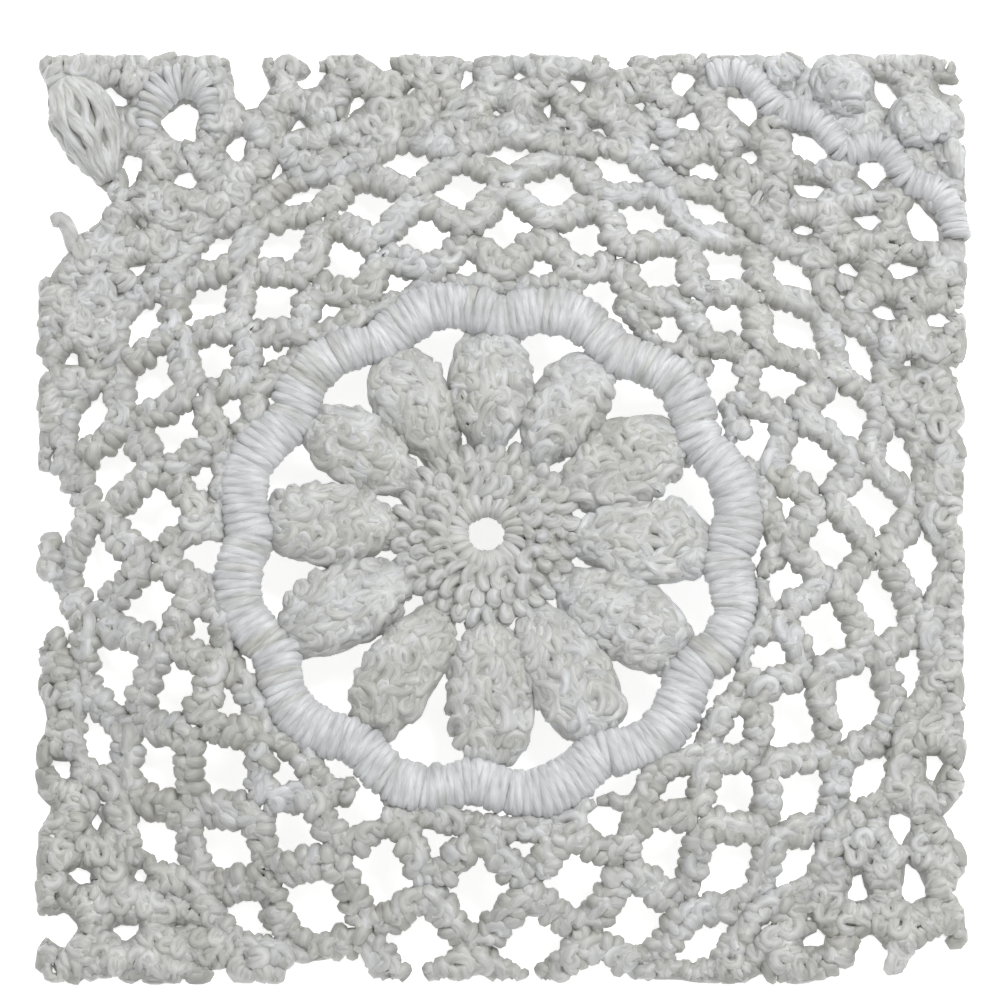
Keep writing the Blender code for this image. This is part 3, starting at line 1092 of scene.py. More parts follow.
@dataclass
class CloseWork:
    """The close work beyond the net's rounds: hooked stitches every way round its small openings."""

    dome: Dome
    edge: CutEdge
    centre: tuple[float, float] = (-1.5, -7.9)
    inner_radius: float = 59.0
    row_share: float = 0.87
    place_change: float = 0.2
    size_change: float = 0.14
    turn_change: float = 0.4
    facing_room: float = 1.9
    arc_points: int = 9
    spacing: float = 1.65
    hook: tuple[float, float, float] = (0.85, 1.25, 140.0)  # half width, half length, angle to its ends
    thread: float = 1.6
    thread_change: float = 0.09
    above: float = 1.2
    crown: float = 0.6
    crown_room: float = 1.8
    fall: float = 1.0
    fall_room: tuple[float, float] = (1.0, 0.8)  # room where the fall to an edge starts, and its run
    bow: float = 0.25
    lift_change: float = 0.2
    crease: tuple[float, float, float, float] = (0.45, 0.3, 0.05, 0.5)  # painted shade: at an edge, fall, least, most
    light_angle: float = 45.0
    light_tone: float = 0.06
    stitch_tone: float = 0.1
    rim: float = 0.5
    rim_clear: float = 0.1
    rim_drop: float = 0.2
    rim_crease_shade: float = 0.15
    pad_clear: float = 0.5
    pad_spacing: float = 2.0
    pad_bend: tuple[float, float, float] = (1.6, 0.4, 90.0)  # as for the hook
    pad_thread: float = 2.2
    pad_lift: float = 0.15
    pad_crease_shade: float = 0.4
    curl_points: int = 14
    curl_crease_shade: float = 0.1
    edge_curl: tuple[tuple[float, float], ...] = (
        (-54.6, 33.6), (-56.3, 35.6), (-57.0, 37.8), (-58.0, 39.3), (-59.4, 39.0),
    )

    def _places(self, rng: np.random.Generator, spacing: float, least: float) -> Array:
        """Chooses places in an uneven pattern.

        Args:
            rng: the source of unevenness.
            spacing: how far apart the places are.
            least: the least room round a place.

        Returns:
            Flat points.
        """
        low, high = self.edge.corners.min(axis=0), self.edge.corners.max(axis=0)
        columns, rows = ((high - low) / spacing / np.array([1.0, self.row_share])).astype(int) + 1
        column, row = np.meshgrid(np.arange(columns), np.arange(rows))
        staggered = np.stack([column + 0.5 * (row % 2), row * self.row_share], axis=-1)
        even = staggered.reshape(-1, 2) * spacing
        flat = low + even + rng.normal(0.0, self.place_change * spacing, even.shape)
        flat = flat[np.linalg.norm(flat - np.array(self.centre), axis=1) > self.inner_radius]
        return flat[self.edge.room(flat) > least]

    def _away(self, flat: Array) -> Array:
        """The ways that lead from the nearest edge or opening.

        Args:
            flat: flat points.

        Returns:
            A flat unit vector at each point.
        """
        step = 0.2
        run = self.edge.room(flat + [step, 0.0]) - self.edge.room(flat - [step, 0.0])
        rise = self.edge.room(flat + [0.0, step]) - self.edge.room(flat - [0.0, step])
        return unit(np.stack([run, rise], axis=-1))

    def _arcs(self, places: Array, shape: tuple[float, float, float], rng: np.random.Generator) -> Array:
        """Short bent lines at the places, in any direction; near an edge their bend faces it.

        Args:
            places: flat points.
            shape: an arc's half width, its half length and the angle from its bend to its ends.
            rng: the source of unevenness.

        Returns:
            The arcs' flat points, a row of them for each place.
        """
        away = self._away(places)
        facing = rng.normal(0.0, self.turn_change, len(places))
        any_way = rng.uniform(-np.pi, np.pi, len(places))
        turn = np.where(self.edge.room(places) < self.facing_room, facing, any_way)
        ahead = np.stack([away[:, 0] * np.cos(turn) - away[:, 1] * np.sin(turn),
                          away[:, 0] * np.sin(turn) + away[:, 1] * np.cos(turn)], axis=-1)
        aside = np.stack([-ahead[:, 1], ahead[:, 0]], axis=-1)
        half_width, half_length, sweep = shape
        around = np.radians(sweep) * np.linspace(-1.0, 1.0, self.arc_points)
        size = 1 + rng.normal(0.0, self.size_change, (2, len(places), 1))
        lines = (places[:, None] - ahead[:, None] * (half_length * size[0] * np.cos(around))[..., None]
                 + aside[:, None] * (half_width * size[1] * np.sin(around))[..., None])
        flat = lines.reshape(-1, 2)
        inward = np.maximum(self.rim - self.edge.room(flat), 0.0)
        return (flat + self._away(flat) * inward[:, None]).reshape(lines.shape)

    def _stitches(self, yarns: dict[Quarter, Yarn], rng: np.random.Generator) -> None:
        """Works the stitches that show.

        Args:
            yarns: the thread of each quarter.
            rng: the source of unevenness.
        """
        places = self._places(rng, self.spacing, self.rim + self.rim_clear)
        lines = self._arcs(places, self.hook, rng)
        room = self.edge.room(lines.reshape(-1, 2)).reshape(lines.shape[:2])
        fall_from, fall_run = self.fall_room
        rise = self.crown * smooth_step(room / self.crown_room)
        rise = rise - self.fall * smooth_step((fall_from - room) / fall_run)
        arched = self.bow * (1 - np.linspace(-1.0, 1.0, self.arc_points)**2)
        lift = rng.normal(0.0, self.lift_change, (len(lines), 1))
        points = self.dome.raised(lines, self.above + rise + arched + lift)
        # painted shade: stitches are coloured darker near an edge or opening, and where they sit lower
        at_rim, falling, least, most = self.crease
        painted_shade = np.clip(at_rim - room * falling - lift, least, most)
        # each stitch's depth is its painted shade
        for place, line, depth in zip(places, points, painted_shade):
            angle = math.degrees(math.atan2(place[1], place[0]))
            lit = facing(angle, self.light_angle)
            tone = self.light_tone * lit + rng.normal(0.0, self.stitch_tone)
            quarter = Quarter.LOWER
            if place[1] > 0:
                quarter = Quarter.UPPER_RIGHT if place[0] > 0 else Quarter.UPPER_LEFT
            thick = self.thread * (1 + rng.normal(0.0, self.thread_change))
            yarns[quarter].add(line, thick, tone, depth)

    def build(self, cords: Yarn, finish: bpy.types.Material,
              rng: np.random.Generator) -> list[bpy.types.Object]:
        """Builds the close work.

        Args:
            cords: the thread of the padding under the stitches, shared with the net.
            finish: the cotton's material.
            rng: the source of unevenness.

        Returns:
            One piece for each quarter.
        """
        places = self._places(rng, self.pad_spacing, self.rim + self.pad_clear)
        for line in self._arcs(places, self.pad_bend, rng):
            pad = self.dome.raised(line, self.pad_thread / 2 + self.pad_lift)
            # painted shade: the padding under the stitches is coloured darker
            cords.add(pad, self.pad_thread, UNDER_SHADE, self.pad_crease_shade)
        for opening in self.edge.openings:
            line = opening.ring(self.rim + self.rim_clear)
            if np.linalg.norm(line - np.array(self.centre), axis=1).min() > self.inner_radius:
                rim = self.dome.raised(line, self.above - self.rim_drop)
                # painted shade on the rim round the opening
                cords.add(rim, self.thread, 0.0, self.rim_crease_shade)
        yarns = {quarter: Yarn(f"close_work_{quarter.name.lower()}") for quarter in Quarter}
        self._stitches(yarns, rng)
        curl = self.dome.raised(smooth_curve(self.edge_curl, self.curl_points), self.above)
        # painted shade on the curl at the edge
        yarns[Quarter.UPPER_LEFT].add(curl, self.pad_thread, 0.0, self.curl_crease_shade)
        return [
            yarn.piece(finish, "net", [quarter.value] if quarter.value else [])
            for quarter, yarn in yarns.items()
        ]


@dataclass
class RingCord:
    """The raised scalloped cord round the flower, wrapped all round."""

    dome: Dome
    centre: tuple[float, float] = (-1.8, -7.2)
    scallops: int = 12
    first_joint: float = -3.0
    middle_radius: float = 30.35
    rise: float = 2.6
    width: float = 6.5
    height: float = 4.2
    cores: tuple[tuple[float, float], ...] = ((-1.35, 2.5), (0.0, 3.0), (1.35, 2.5))  # aside, thread
    core_crease_shade: float = 0.3
    lap: float = 0.7
    joint_softness: float = 0.015
    joint_drop: float = 0.12
    fan: float = 0.6
    width_drift: float = 0.12
    width_knots: int = 5
    scallop_points: int = 41
    round_points: int = 240
    tone: tuple[float, float] = (0.05, 0.07)  # middle and spread
    wrapping: Wrapping = field(default_factory=lambda: Wrapping(pitch=1.0, thread=1.65))

    def _middle(self, angles: Array, aside: float = 0.0) -> Array:
        """A line along the cord.

        Args:
            angles: angles about the ring's centre.
            aside: how far outside the cord's middle the points lie.

        Returns:
            Points on the cloth, half the cord above it.
        """
        wave = np.sin(np.radians((angles - self.first_joint) * self.scallops / 2))
        rise = self.rise * (np.sqrt(wave**2 + self.joint_softness) - self.joint_drop)
        flat = np.array(self.centre) + direction(angles) * (self.middle_radius + rise + aside)[:, None]
        return self.dome.raised(flat, self.height / 2)

    def build(self, finish: bpy.types.Material, rng: np.random.Generator) -> bpy.types.Object:
        """Builds the cord.

        Args:
            finish: the cotton's material.
            rng: the source of unevenness.

        Returns:
            The wrapped cord's piece.
        """
        yarn = Yarn("wrapped_ring")
        pitch = 360.0 / self.scallops
        for i in range(self.scallops):
            run = np.linspace(-self.lap, pitch + self.lap, self.scallop_points)
            angles = self.first_joint + pitch * i + run
            middle = self._middle(angles)
            radial = np.column_stack([direction(angles), np.zeros(len(angles))])
            across = unit(across_line(middle) + self.fan * radial)
            half_width = self.width / 2 + drifting(rng, len(angles), self.width_knots, self.width_drift)
            tone = rng.normal(*self.tone)
            self.wrapping.wind(yarn, middle, across, half_width, self.height / 2, rng, tone)
        round_the_ring = self.first_joint + np.linspace(0.0, 360.0, self.round_points, endpoint=False)
        for aside, thick in self.cores:
            # painted shade: the cores under the wraps are coloured darker
            yarn.add(self._middle(round_the_ring, aside), thick, UNDER_SHADE, self.core_crease_shade, closed=True)
        return yarn.piece(finish, "cord", ["ring_cord"])


class PetalWork(Enum):
    """How a padded form's top is worked: the half width and half length of its loops, if it has them."""

    PLAIN = (0.0, 0.0)
    STRANDS = (0.5, 1.6)
    MIXED = (0.75, 1.3)
    PUFFED = (1.0, 1.1)


@dataclass(frozen=True)
class Padded:
    """A padded form along a spine, and the strands that cover it."""

    dome: Dome
    spine: tuple[tuple[float, float, float, float], ...]
    thread: float = 1.6
    work: PetalWork = PetalWork.STRANDS
    stations: int = 30
    row_pitch: float = 1.75
    loop_pitch: float = 2.3
    full_width: float = 8.0
    thinnest: float = 0.15
    strand_overlap: float = 0.85
    strand_wander: float = 0.17
    strand_lift: float = 0.18
    strand_thread: float = 0.08
    strand_tone: float = 0.14
    few_knots: int = 5
    some_knots: int = 7
    many_knots: int = 9
    crease: float = 0.3
    cover_depth: float = 1.5
    thinnest_cord: float = 0.8
    cord_share: float = 0.6
    cord_crease_shade: float = 0.35
    cord_places: tuple[tuple[float, float, float], ...] = (  # turn, share of the way out, share of size
        (math.pi, 0.48, 0.8), (0.0, 0.0, 1.0), (0.0, 0.48, 0.8),
    )
    rows_from: float = 0.08
    rows_span: float = 0.84
    row_margin: float = 0.02
    row_points: int = 40
    row_drift: float = 0.1
    row_tone: float = 0.06
    row_above: float = 0.12

    def _surface(self, rows: Array, share: Array, around: Array, inset: float) -> tuple[Array, Array]:
        """Reads off the form's surface.

        Args:
            rows: the spine's rows.
            share: shares of its length.
            around: turns round the form, in radians.
            inset: how far inside the surface the points lie.

        Returns:
            Points, and the outward normals there.
        """
        at = share * (len(rows) - 1)
        steps = np.arange(len(rows))
        row = sampled(rows, steps, at)
        along = unit(sampled(np.gradient(rows[:, :2], axis=0), steps, at))
        across = np.column_stack([along[:, 1], -along[:, 0]])
        half_wide = np.maximum(row[:, 2] / 2 - inset, self.thinnest)
        half_high = np.maximum(row[:, 3] / 2 - inset, self.thinnest)
        flat = row[:, :2] + across * (half_wide * np.cos(around))[:, None]
        level = self.dome.lift(row[:, :2]) + row[:, 3] / 2 + half_high * np.sin(around)
        normal_flat = across * (np.cos(around) / half_wide)[:, None]
        normal = unit(np.column_stack([normal_flat, np.sin(around) / half_high]))
        return np.column_stack([flat, level]), normal

    def cover(self, yarn: Yarn, rng: np.random.Generator, tone: float = 0.0) -> None:
        """Lays the padding and the strands over it.

        Args:
            yarn: the thread.
            rng: the source of unevenness.
            tone: how cool and light the petal is.
        """
        rows = smooth_curve(self.spine, self.stations)
        share = np.linspace(0.0, 1.0, self.stations)
        widest = rows[:, 2].max()
        self._padding(yarn, rows, share)
        girth = math.pi * (widest + rows[:, 3].max()) / 2
        count = max(6, round(girth / (self.thread * self.strand_overlap)))
        for k in range(count):
            self._strand(yarn, rows, share, 2 * math.pi * (k + 0.5) / count, rng, tone)
        if self.work is not PetalWork.PLAIN:
            self._rows(yarn, rows, rng, tone)

    def _padding(self, yarn: Yarn, rows: Array, share: Array) -> None:
        """Lays three fat cords inside the form: one at each side and one down its middle.

        Args:
            yarn: the thread.
            rows: the spine's rows.
            share: shares of its length.
        """
        middle = np.column_stack([rows[:, :2], self.dome.lift(rows[:, :2]) + rows[:, 3] / 2])
        deep = np.maximum(rows[:, 3] - self.cover_depth, self.thinnest_cord)
        widest = np.maximum(rows[:, 2] * self.cord_share, self.thinnest_cord)
        for turn, aside, size in self.cord_places:
            side, _ = self._surface(rows, share, np.full(len(share), turn), 0.0)
            line = middle * (1 - aside) + side * aside
            # painted shade: the padding cords inside the form are coloured darker
            yarn.add(line, np.minimum(deep * size, widest), UNDER_SHADE, self.cord_crease_shade)

    def _strand(self, yarn: Yarn, rows: Array, share: Array, turn: float, rng: np.random.Generator,
                tone: float) -> None:
        """Lays one long strand over the padding.

        Args:
            yarn: the thread.
            rows: the spine's rows.
            share: shares of its length.
            turn: the turn round the form, in radians.
            rng: the source of unevenness.
            tone: how cool and light the strand is.
        """
        wander = drifting(rng, len(share), self.some_knots, self.strand_wander)
        lift = drifting(rng, len(share), self.many_knots, self.strand_lift)
        points, normals = self._surface(rows, share, turn + wander, self.thread / 2)
        thick = self.thread * (1 + drifting(rng, len(share), self.some_knots, self.strand_thread))
        tones = tone + drifting(rng, len(share), self.few_knots, self.strand_tone)
        # painted shade: strands on the underside of the form are coloured darker
        painted_shade = max(-math.sin(turn), 0.0) * self.crease
        yarn.add(points + normals * lift[:, None], thick, tones, painted_shade)

    def _rows(self, yarn: Yarn, rows: Array, rng: np.random.Generator, tone: float) -> None:
        """Works rows of uneven loops along the top, one beside the other.

        Args:
            yarn: the thread.
            rows: the spine's rows.
            rng: the source of unevenness.
            tone: how cool and light the loops are.
        """
        widest = rows[:, 2].max()
        half_width, half_length = np.array(self.work.value) * min(1.0, widest / self.full_width)
        loops = Loops(
            half_width, half_length, tilt=0.3, pitch=self.loop_pitch, thread=self.thread, yaw=0.7,
            unevenness=0.22,
        )
        count = round(self.rows_span / 2 * math.pi * widest / self.row_pitch)
        share = np.linspace(self.row_margin, 1 - self.row_margin, self.row_points)
        for k in range(count):
            wander = drifting(rng, len(share), self.few_knots, self.row_drift)
            turn = math.pi * (self.rows_from + self.rows_span * (k + 0.5) / count) + wander
            points, normals = self._surface(rows, share, turn, self.thread / 2)
            row_tone = tone + rng.normal(0.0, self.row_tone)
            loops.work(yarn, points, normals, rng, row_tone, self.row_above)


@dataclass(frozen=True)
class Petal:
    """One of the flower's petals: where it points, how wide it is and how it is worked."""

    angle: float
    width: float
    work: PetalWork


@dataclass
class Flower:
    """The flower: twelve padded petals round a thick disc with an eye."""

    dome: Dome
    ring: RingCord
    disc_centre: tuple[float, float] = (-2.1, -5.5)
    disc_cores: tuple[tuple[float, float, float], ...] = (  # radius, height above the cloth, thread
        (4.0, 1.95, 2.2), (6.3, 1.7, 2.6), (8.6, 1.6, 2.8), (10.3, 1.5, 2.4),
    )
    disc_rounds: tuple[tuple[float, float], ...] = (  # radius, height above the cloth
        (6.3, 2.95), (8.4, 2.8), (10.6, 2.25),
    )
    disc_loops: Loops = field(default_factory=lambda: Loops(
        half_width=1.05, half_length=0.75, tilt=0.4, pitch=1.95, thread=1.55, yaw=0.35, unevenness=0.2
    ))
    disc_tone: float = 0.02
    core_crease_shade: float = 0.35
    eye_wraps: Wrapping = field(default_factory=lambda: Wrapping(pitch=1.2, thread=1.4))
    eye_half_sizes: tuple[float, float] = (1.85, 1.7)  # across, and upwards
    circle_points: int = 120
    base_radius: float = 11.8
    tip_radius: float = 28.0
    petal_height: float = 5.2
    light_angle: float = 40.0
    light_tone: float = 0.06
    petal_tone: float = 0.05
    stations: tuple[tuple[float, float, float], ...] = (  # share of the length, of the width, of the height
        (0.0, 0.46, 0.55),
        (0.12, 0.60, 0.78),
        (0.28, 0.97, 0.96),
        (0.56, 1.08, 1.00),
        (0.76, 0.98, 0.93),
        (0.91, 0.76, 0.74),
        (1.0, 0.46, 0.45),
    )
    petals: tuple[Petal, ...] = (
        Petal(-3.4, 10.3, PetalWork.STRANDS),
        Petal(27.0, 10.1, PetalWork.PUFFED),
        Petal(58.2, 9.1, PetalWork.PUFFED),
        Petal(88.5, 10.1, PetalWork.STRANDS),
        Petal(118.1, 9.4, PetalWork.STRANDS),
        Petal(146.2, 9.0, PetalWork.MIXED),
        Petal(176.3, 9.8, PetalWork.PUFFED),
        Petal(-152.2, 9.9, PetalWork.MIXED),
        Petal(-120.6, 9.3, PetalWork.STRANDS),
        Petal(-88.4, 10.2, PetalWork.STRANDS),
        Petal(-60.6, 10.6, PetalWork.MIXED),
        Petal(-32.4, 9.9, PetalWork.MIXED),
    )

    def _spine(self, petal: Petal) -> tuple[tuple[float, float, float, float], ...]:
        """The petal's spine, from the disc's rim to a joint of the ring.

        Args:
            petal: the petal.

        Returns:
            Rows of x, y, width and height.
        """
        out = direction(petal.angle)
        start = np.array(self.disc_centre) + out * self.base_radius
        offset = np.array(self.disc_centre) - np.array(self.ring.centre)
        along = -(out @ offset)
        reach = along + math.sqrt(along**2 - offset @ offset + self.tip_radius**2)
        tip = np.array(self.disc_centre) + out * reach
        rows = []
        for share, wide, high in self.stations:
            x, y = start + (tip - start) * share
            rows.append((x, y, petal.width * wide, self.petal_height * high))
        return tuple(rows)

    def build_petals(self, finish: bpy.types.Material, rng: np.random.Generator) -> list[bpy.types.Object]:
        """Builds the twelve petals.

        Args:
            finish: the cotton's material.
            rng: the source of unevenness.

        Returns:
            One piece a petal.
        """
        pieces = []
        for number, petal in enumerate(self.petals, start=1):
            yarn = Yarn(f"padded_petal_{number:02d}")
            lit = facing(petal.angle, self.light_angle)
            tone = self.light_tone * lit + rng.normal(0.0, self.petal_tone)
            Padded(self.dome, self._spine(petal), work=petal.work).cover(yarn, rng, tone)
            pieces.append(yarn.piece(finish, "petal", [f"petal_{number:02d}"]))
        return pieces

    def _circle(self, radius: float, above: float) -> tuple[Array, Array]:
        """A circle about the disc's eye.

        Args:
            radius: the circle's radius.
            above: how far it lies above the cloth.

        Returns:
            The closed line, and upward unit vectors along it.
        """
        angles = np.linspace(0.0, 360.0, self.circle_points)
        flat = np.array(self.disc_centre) + direction(angles) * radius
        return self.dome.raised(flat, above), np.tile([0.0, 0.0, 1.0], (self.circle_points, 1))

    def build_disc(self, finish: bpy.types.Material, rng: np.random.Generator) -> bpy.types.Object:
        """Builds the disc: stitches that run out from the eye, and rounds of loops about them.

        Args:
            finish: the cotton's material.
            rng: the source of unevenness.

        Returns:
            The disc's piece.
        """
        yarn = Yarn("worked_disc")
        eye_radius, eye_above, _ = self.disc_cores[0]
        line, _ = self._circle(eye_radius, eye_above)
        across = unit(line - np.array([*self.disc_centre, line[0, 2]]))
        half_width, half_height = self.eye_half_sizes
        self.eye_wraps.wind(yarn, line, across, half_width, half_height, rng, self.disc_tone)
        for radius, above, thick in self.disc_cores:
            core, _ = self._circle(radius, above)
            # painted shade: the cores under the loops are coloured darker
            yarn.add(core[:-1], thick, UNDER_SHADE, self.core_crease_shade, closed=True)
        for radius, above in self.disc_rounds:
            line, ups = self._circle(radius, above)
            self.disc_loops.work(yarn, line, ups, rng, self.disc_tone)
        return yarn.piece(finish, "centre", ["flower_centre"])


@dataclass
class RightCorner:
    """The upper right corner: a wrapped cord of four arches and the puffs beyond it.

    A row of a puff is x, y, width and height.
    """

    dome: Dome
    cord: tuple[tuple[float, float], ...] = (
        (27.6, 58.6), (29.6, 59.2), (31.7, 58.9), (34.2, 57.0), (36.4, 54.1), (38.7, 53.6),
        (41.3, 52.9), (43.5, 50.5), (45.2, 48.4), (47.3, 48.9), (49.8, 49.2), (51.8, 47.3),
        (52.9, 44.8), (55.0, 43.8), (57.5, 42.7), (59.0, 39.8), (59.8, 36.4),
    )
    width: float = 4.2
    height: float = 3.8
    cord_points: int = 140
    wraps: Wrapping = field(default_factory=lambda: Wrapping(pitch=0.9, thread=1.3))
    core: float = 2.4
    core_crease_shade: float = 0.3
    # painted light: the cord and puffs of the upper right corner, towards the lamp, are coloured lighter
    # and cooler
    lit_cord_tone: float = 0.22
    lit_puff_tone: float = 0.2
    puffs: tuple[tuple[str, PetalWork, tuple[tuple[float, float, float, float], ...]], ...] = (
        ("right_petal_1", PetalWork.STRANDS, (
            (37.6, 56.8, 2.2, 2.6), (37.3, 58.2, 3.8, 3.8), (36.9, 59.8, 4.2, 4.2), (36.6, 61.2, 3.0, 3.4),
        )),
        ("right_petal_2", PetalWork.PUFFED, (
            (42.3, 55.3, 3.8, 2.8), (43.2, 56.0, 7.2, 4.6), (44.6, 57.1, 8.4, 5.2), (46.0, 58.4, 6.8, 4.4),
            (47.2, 59.5, 3.6, 2.8),
        )),
        ("right_petal_3", PetalWork.PUFFED, (
            (51.9, 51.1, 3.6, 2.8), (53.1, 51.7, 6.6, 4.6), (55.1, 52.4, 7.4, 5.2), (57.3, 53.1, 6.0, 4.4),
            (59.0, 53.9, 2.6, 2.8),
        )),
        ("right_petal_4", PetalWork.STRANDS, (
            (59.5, 45.0, 1.8, 2.4), (59.3, 46.5, 3.4, 3.6), (59.2, 48.2, 3.6, 3.8), (59.2, 49.9, 2.2, 2.8),
        )),
    )

    def build_cord(self, finish: bpy.types.Material, rng: np.random.Generator) -> bpy.types.Object:
        """Builds the wrapped cord.

        Args:
            finish: the cotton's material.
            rng: the source of unevenness.

        Returns:
            The cord's piece.
        """
        yarn = Yarn("right_wrapped_cord")
        middle = self.dome.raised(smooth_curve(self.cord, self.cord_points), self.height / 2)
        across = across_line(middle)
        self.wraps.wind(yarn, middle, across, self.width / 2, self.height / 2, rng, self.lit_cord_tone)
        # painted shade on the core under the wraps
        yarn.add(middle, self.core, 0.0, self.core_crease_shade)
        return yarn.piece(finish, "cord", ["right_cord"])

    def build_puffs(self, finish: bpy.types.Material, rng: np.random.Generator) -> list[bpy.types.Object]:
        """Builds the petals' ends beyond the cord.

        Args:
            finish: the cotton's material.
            rng: the source of unevenness.

        Returns:
            One piece an end.
        """
        pieces = []
        for name, work, spine in self.puffs:
            yarn = Yarn(name.replace("right_petal", "right_puff"))
            puff = Padded(self.dome, spine, thread=1.5, work=work, stations=20)
            puff.cover(yarn, rng, self.lit_puff_tone)
            pieces.append(yarn.piece(finish, "petal", [name]))
        return pieces


@dataclass
class LeftCorner:
    """The upper left corner: a padded leaf, a wrapped arch beside it and a plain band.

    A row of each form is x, y, width and height.
    """

    dome: Dome
    tone: float = -0.05
    arch_tone: float = -0.02
    arch_points: int = 60
    arch_core: float = 1.9
    core_crease_shade: float = 0.3
    wraps: Wrapping = field(default_factory=lambda: Wrapping(pitch=1.1, thread=1.35))
    leaf: tuple[tuple[float, float, float, float], ...] = (
        (-57.4, 58.6, 3.6, 2.8),
        (-56.9, 56.8, 6.2, 4.4),
        (-55.4, 53.4, 8.8, 5.4),
        (-54.2, 50.4, 8.6, 5.4),
        (-53.0, 47.2, 5.8, 4.4),
        (-51.9, 44.4, 2.8, 2.8),
    )
    arch: tuple[tuple[float, float, float, float], ...] = (
        (-46.9, 49.6, 2.6, 3.0),
        (-46.9, 52.2, 3.6, 3.6),
        (-46.0, 55.3, 4.8, 4.2),
        (-44.0, 57.6, 5.4, 4.4),
        (-41.2, 57.9, 5.2, 4.4),
        (-39.2, 56.3, 3.8, 4.0),
        (-38.5, 53.6, 3.0, 3.4),
        (-38.7, 51.0, 2.4, 3.0),
    )
    band: tuple[tuple[float, float, float, float], ...] = (
        (-41.0, 61.2, 1.4, 1.8),
        (-38.6, 60.3, 2.5, 2.4),
        (-37.0, 58.1, 2.4, 2.6),
        (-36.4, 55.4, 1.8, 2.2),
    )

    def build_leaf(self, finish: bpy.types.Material, rng: np.random.Generator) -> bpy.types.Object:
        """Builds the padded leaf.

        Args:
            finish: the cotton's material.
            rng: the source of unevenness.

        Returns:
            The leaf's piece.
        """
        yarn = Yarn("padded_leaf")
        Padded(self.dome, self.leaf, thread=1.3, work=PetalWork.PLAIN).cover(yarn, rng, self.tone)
        return yarn.piece(finish, "petal", ["left_leaf"])

    def build_arch(self, finish: bpy.types.Material, rng: np.random.Generator) -> bpy.types.Object:
        """Builds the wrapped arch, whose wraps fan out round its opening.

        Args:
            finish: the cotton's material.
            rng: the source of unevenness.

        Returns:
            The arch's piece.
        """
        yarn = Yarn("left_wrapped_arch")
        rows = smooth_curve(self.arch, self.arch_points)
        middle = self.dome.raised(rows[:, :2], rows[:, 3] / 2)
        across = across_line(middle)
        self.wraps.wind(yarn, middle, across, rows[:, 2] / 2, rows[:, 3] / 2, rng, self.arch_tone)
        # painted shade: the core under the wraps is coloured darker
        yarn.add(middle, self.arch_core, UNDER_SHADE, self.core_crease_shade)
        return yarn.piece(finish, "cord", ["left_cord"])

    def build_band(self, finish: bpy.types.Material, rng: np.random.Generator) -> bpy.types.Object:
        """Builds the narrow plain band outside the arch.

        Args:
            finish: the cotton's material.
            rng: the source of unevenness.

        Returns:
            The band's piece.
        """
        yarn = Yarn("left_plain_band")
        band = Padded(self.dome, self.band, thread=1.1, work=PetalWork.PLAIN, stations=24)
        band.cover(yarn, rng, self.tone)
        return yarn.piece(finish, "net", ["left_band"])


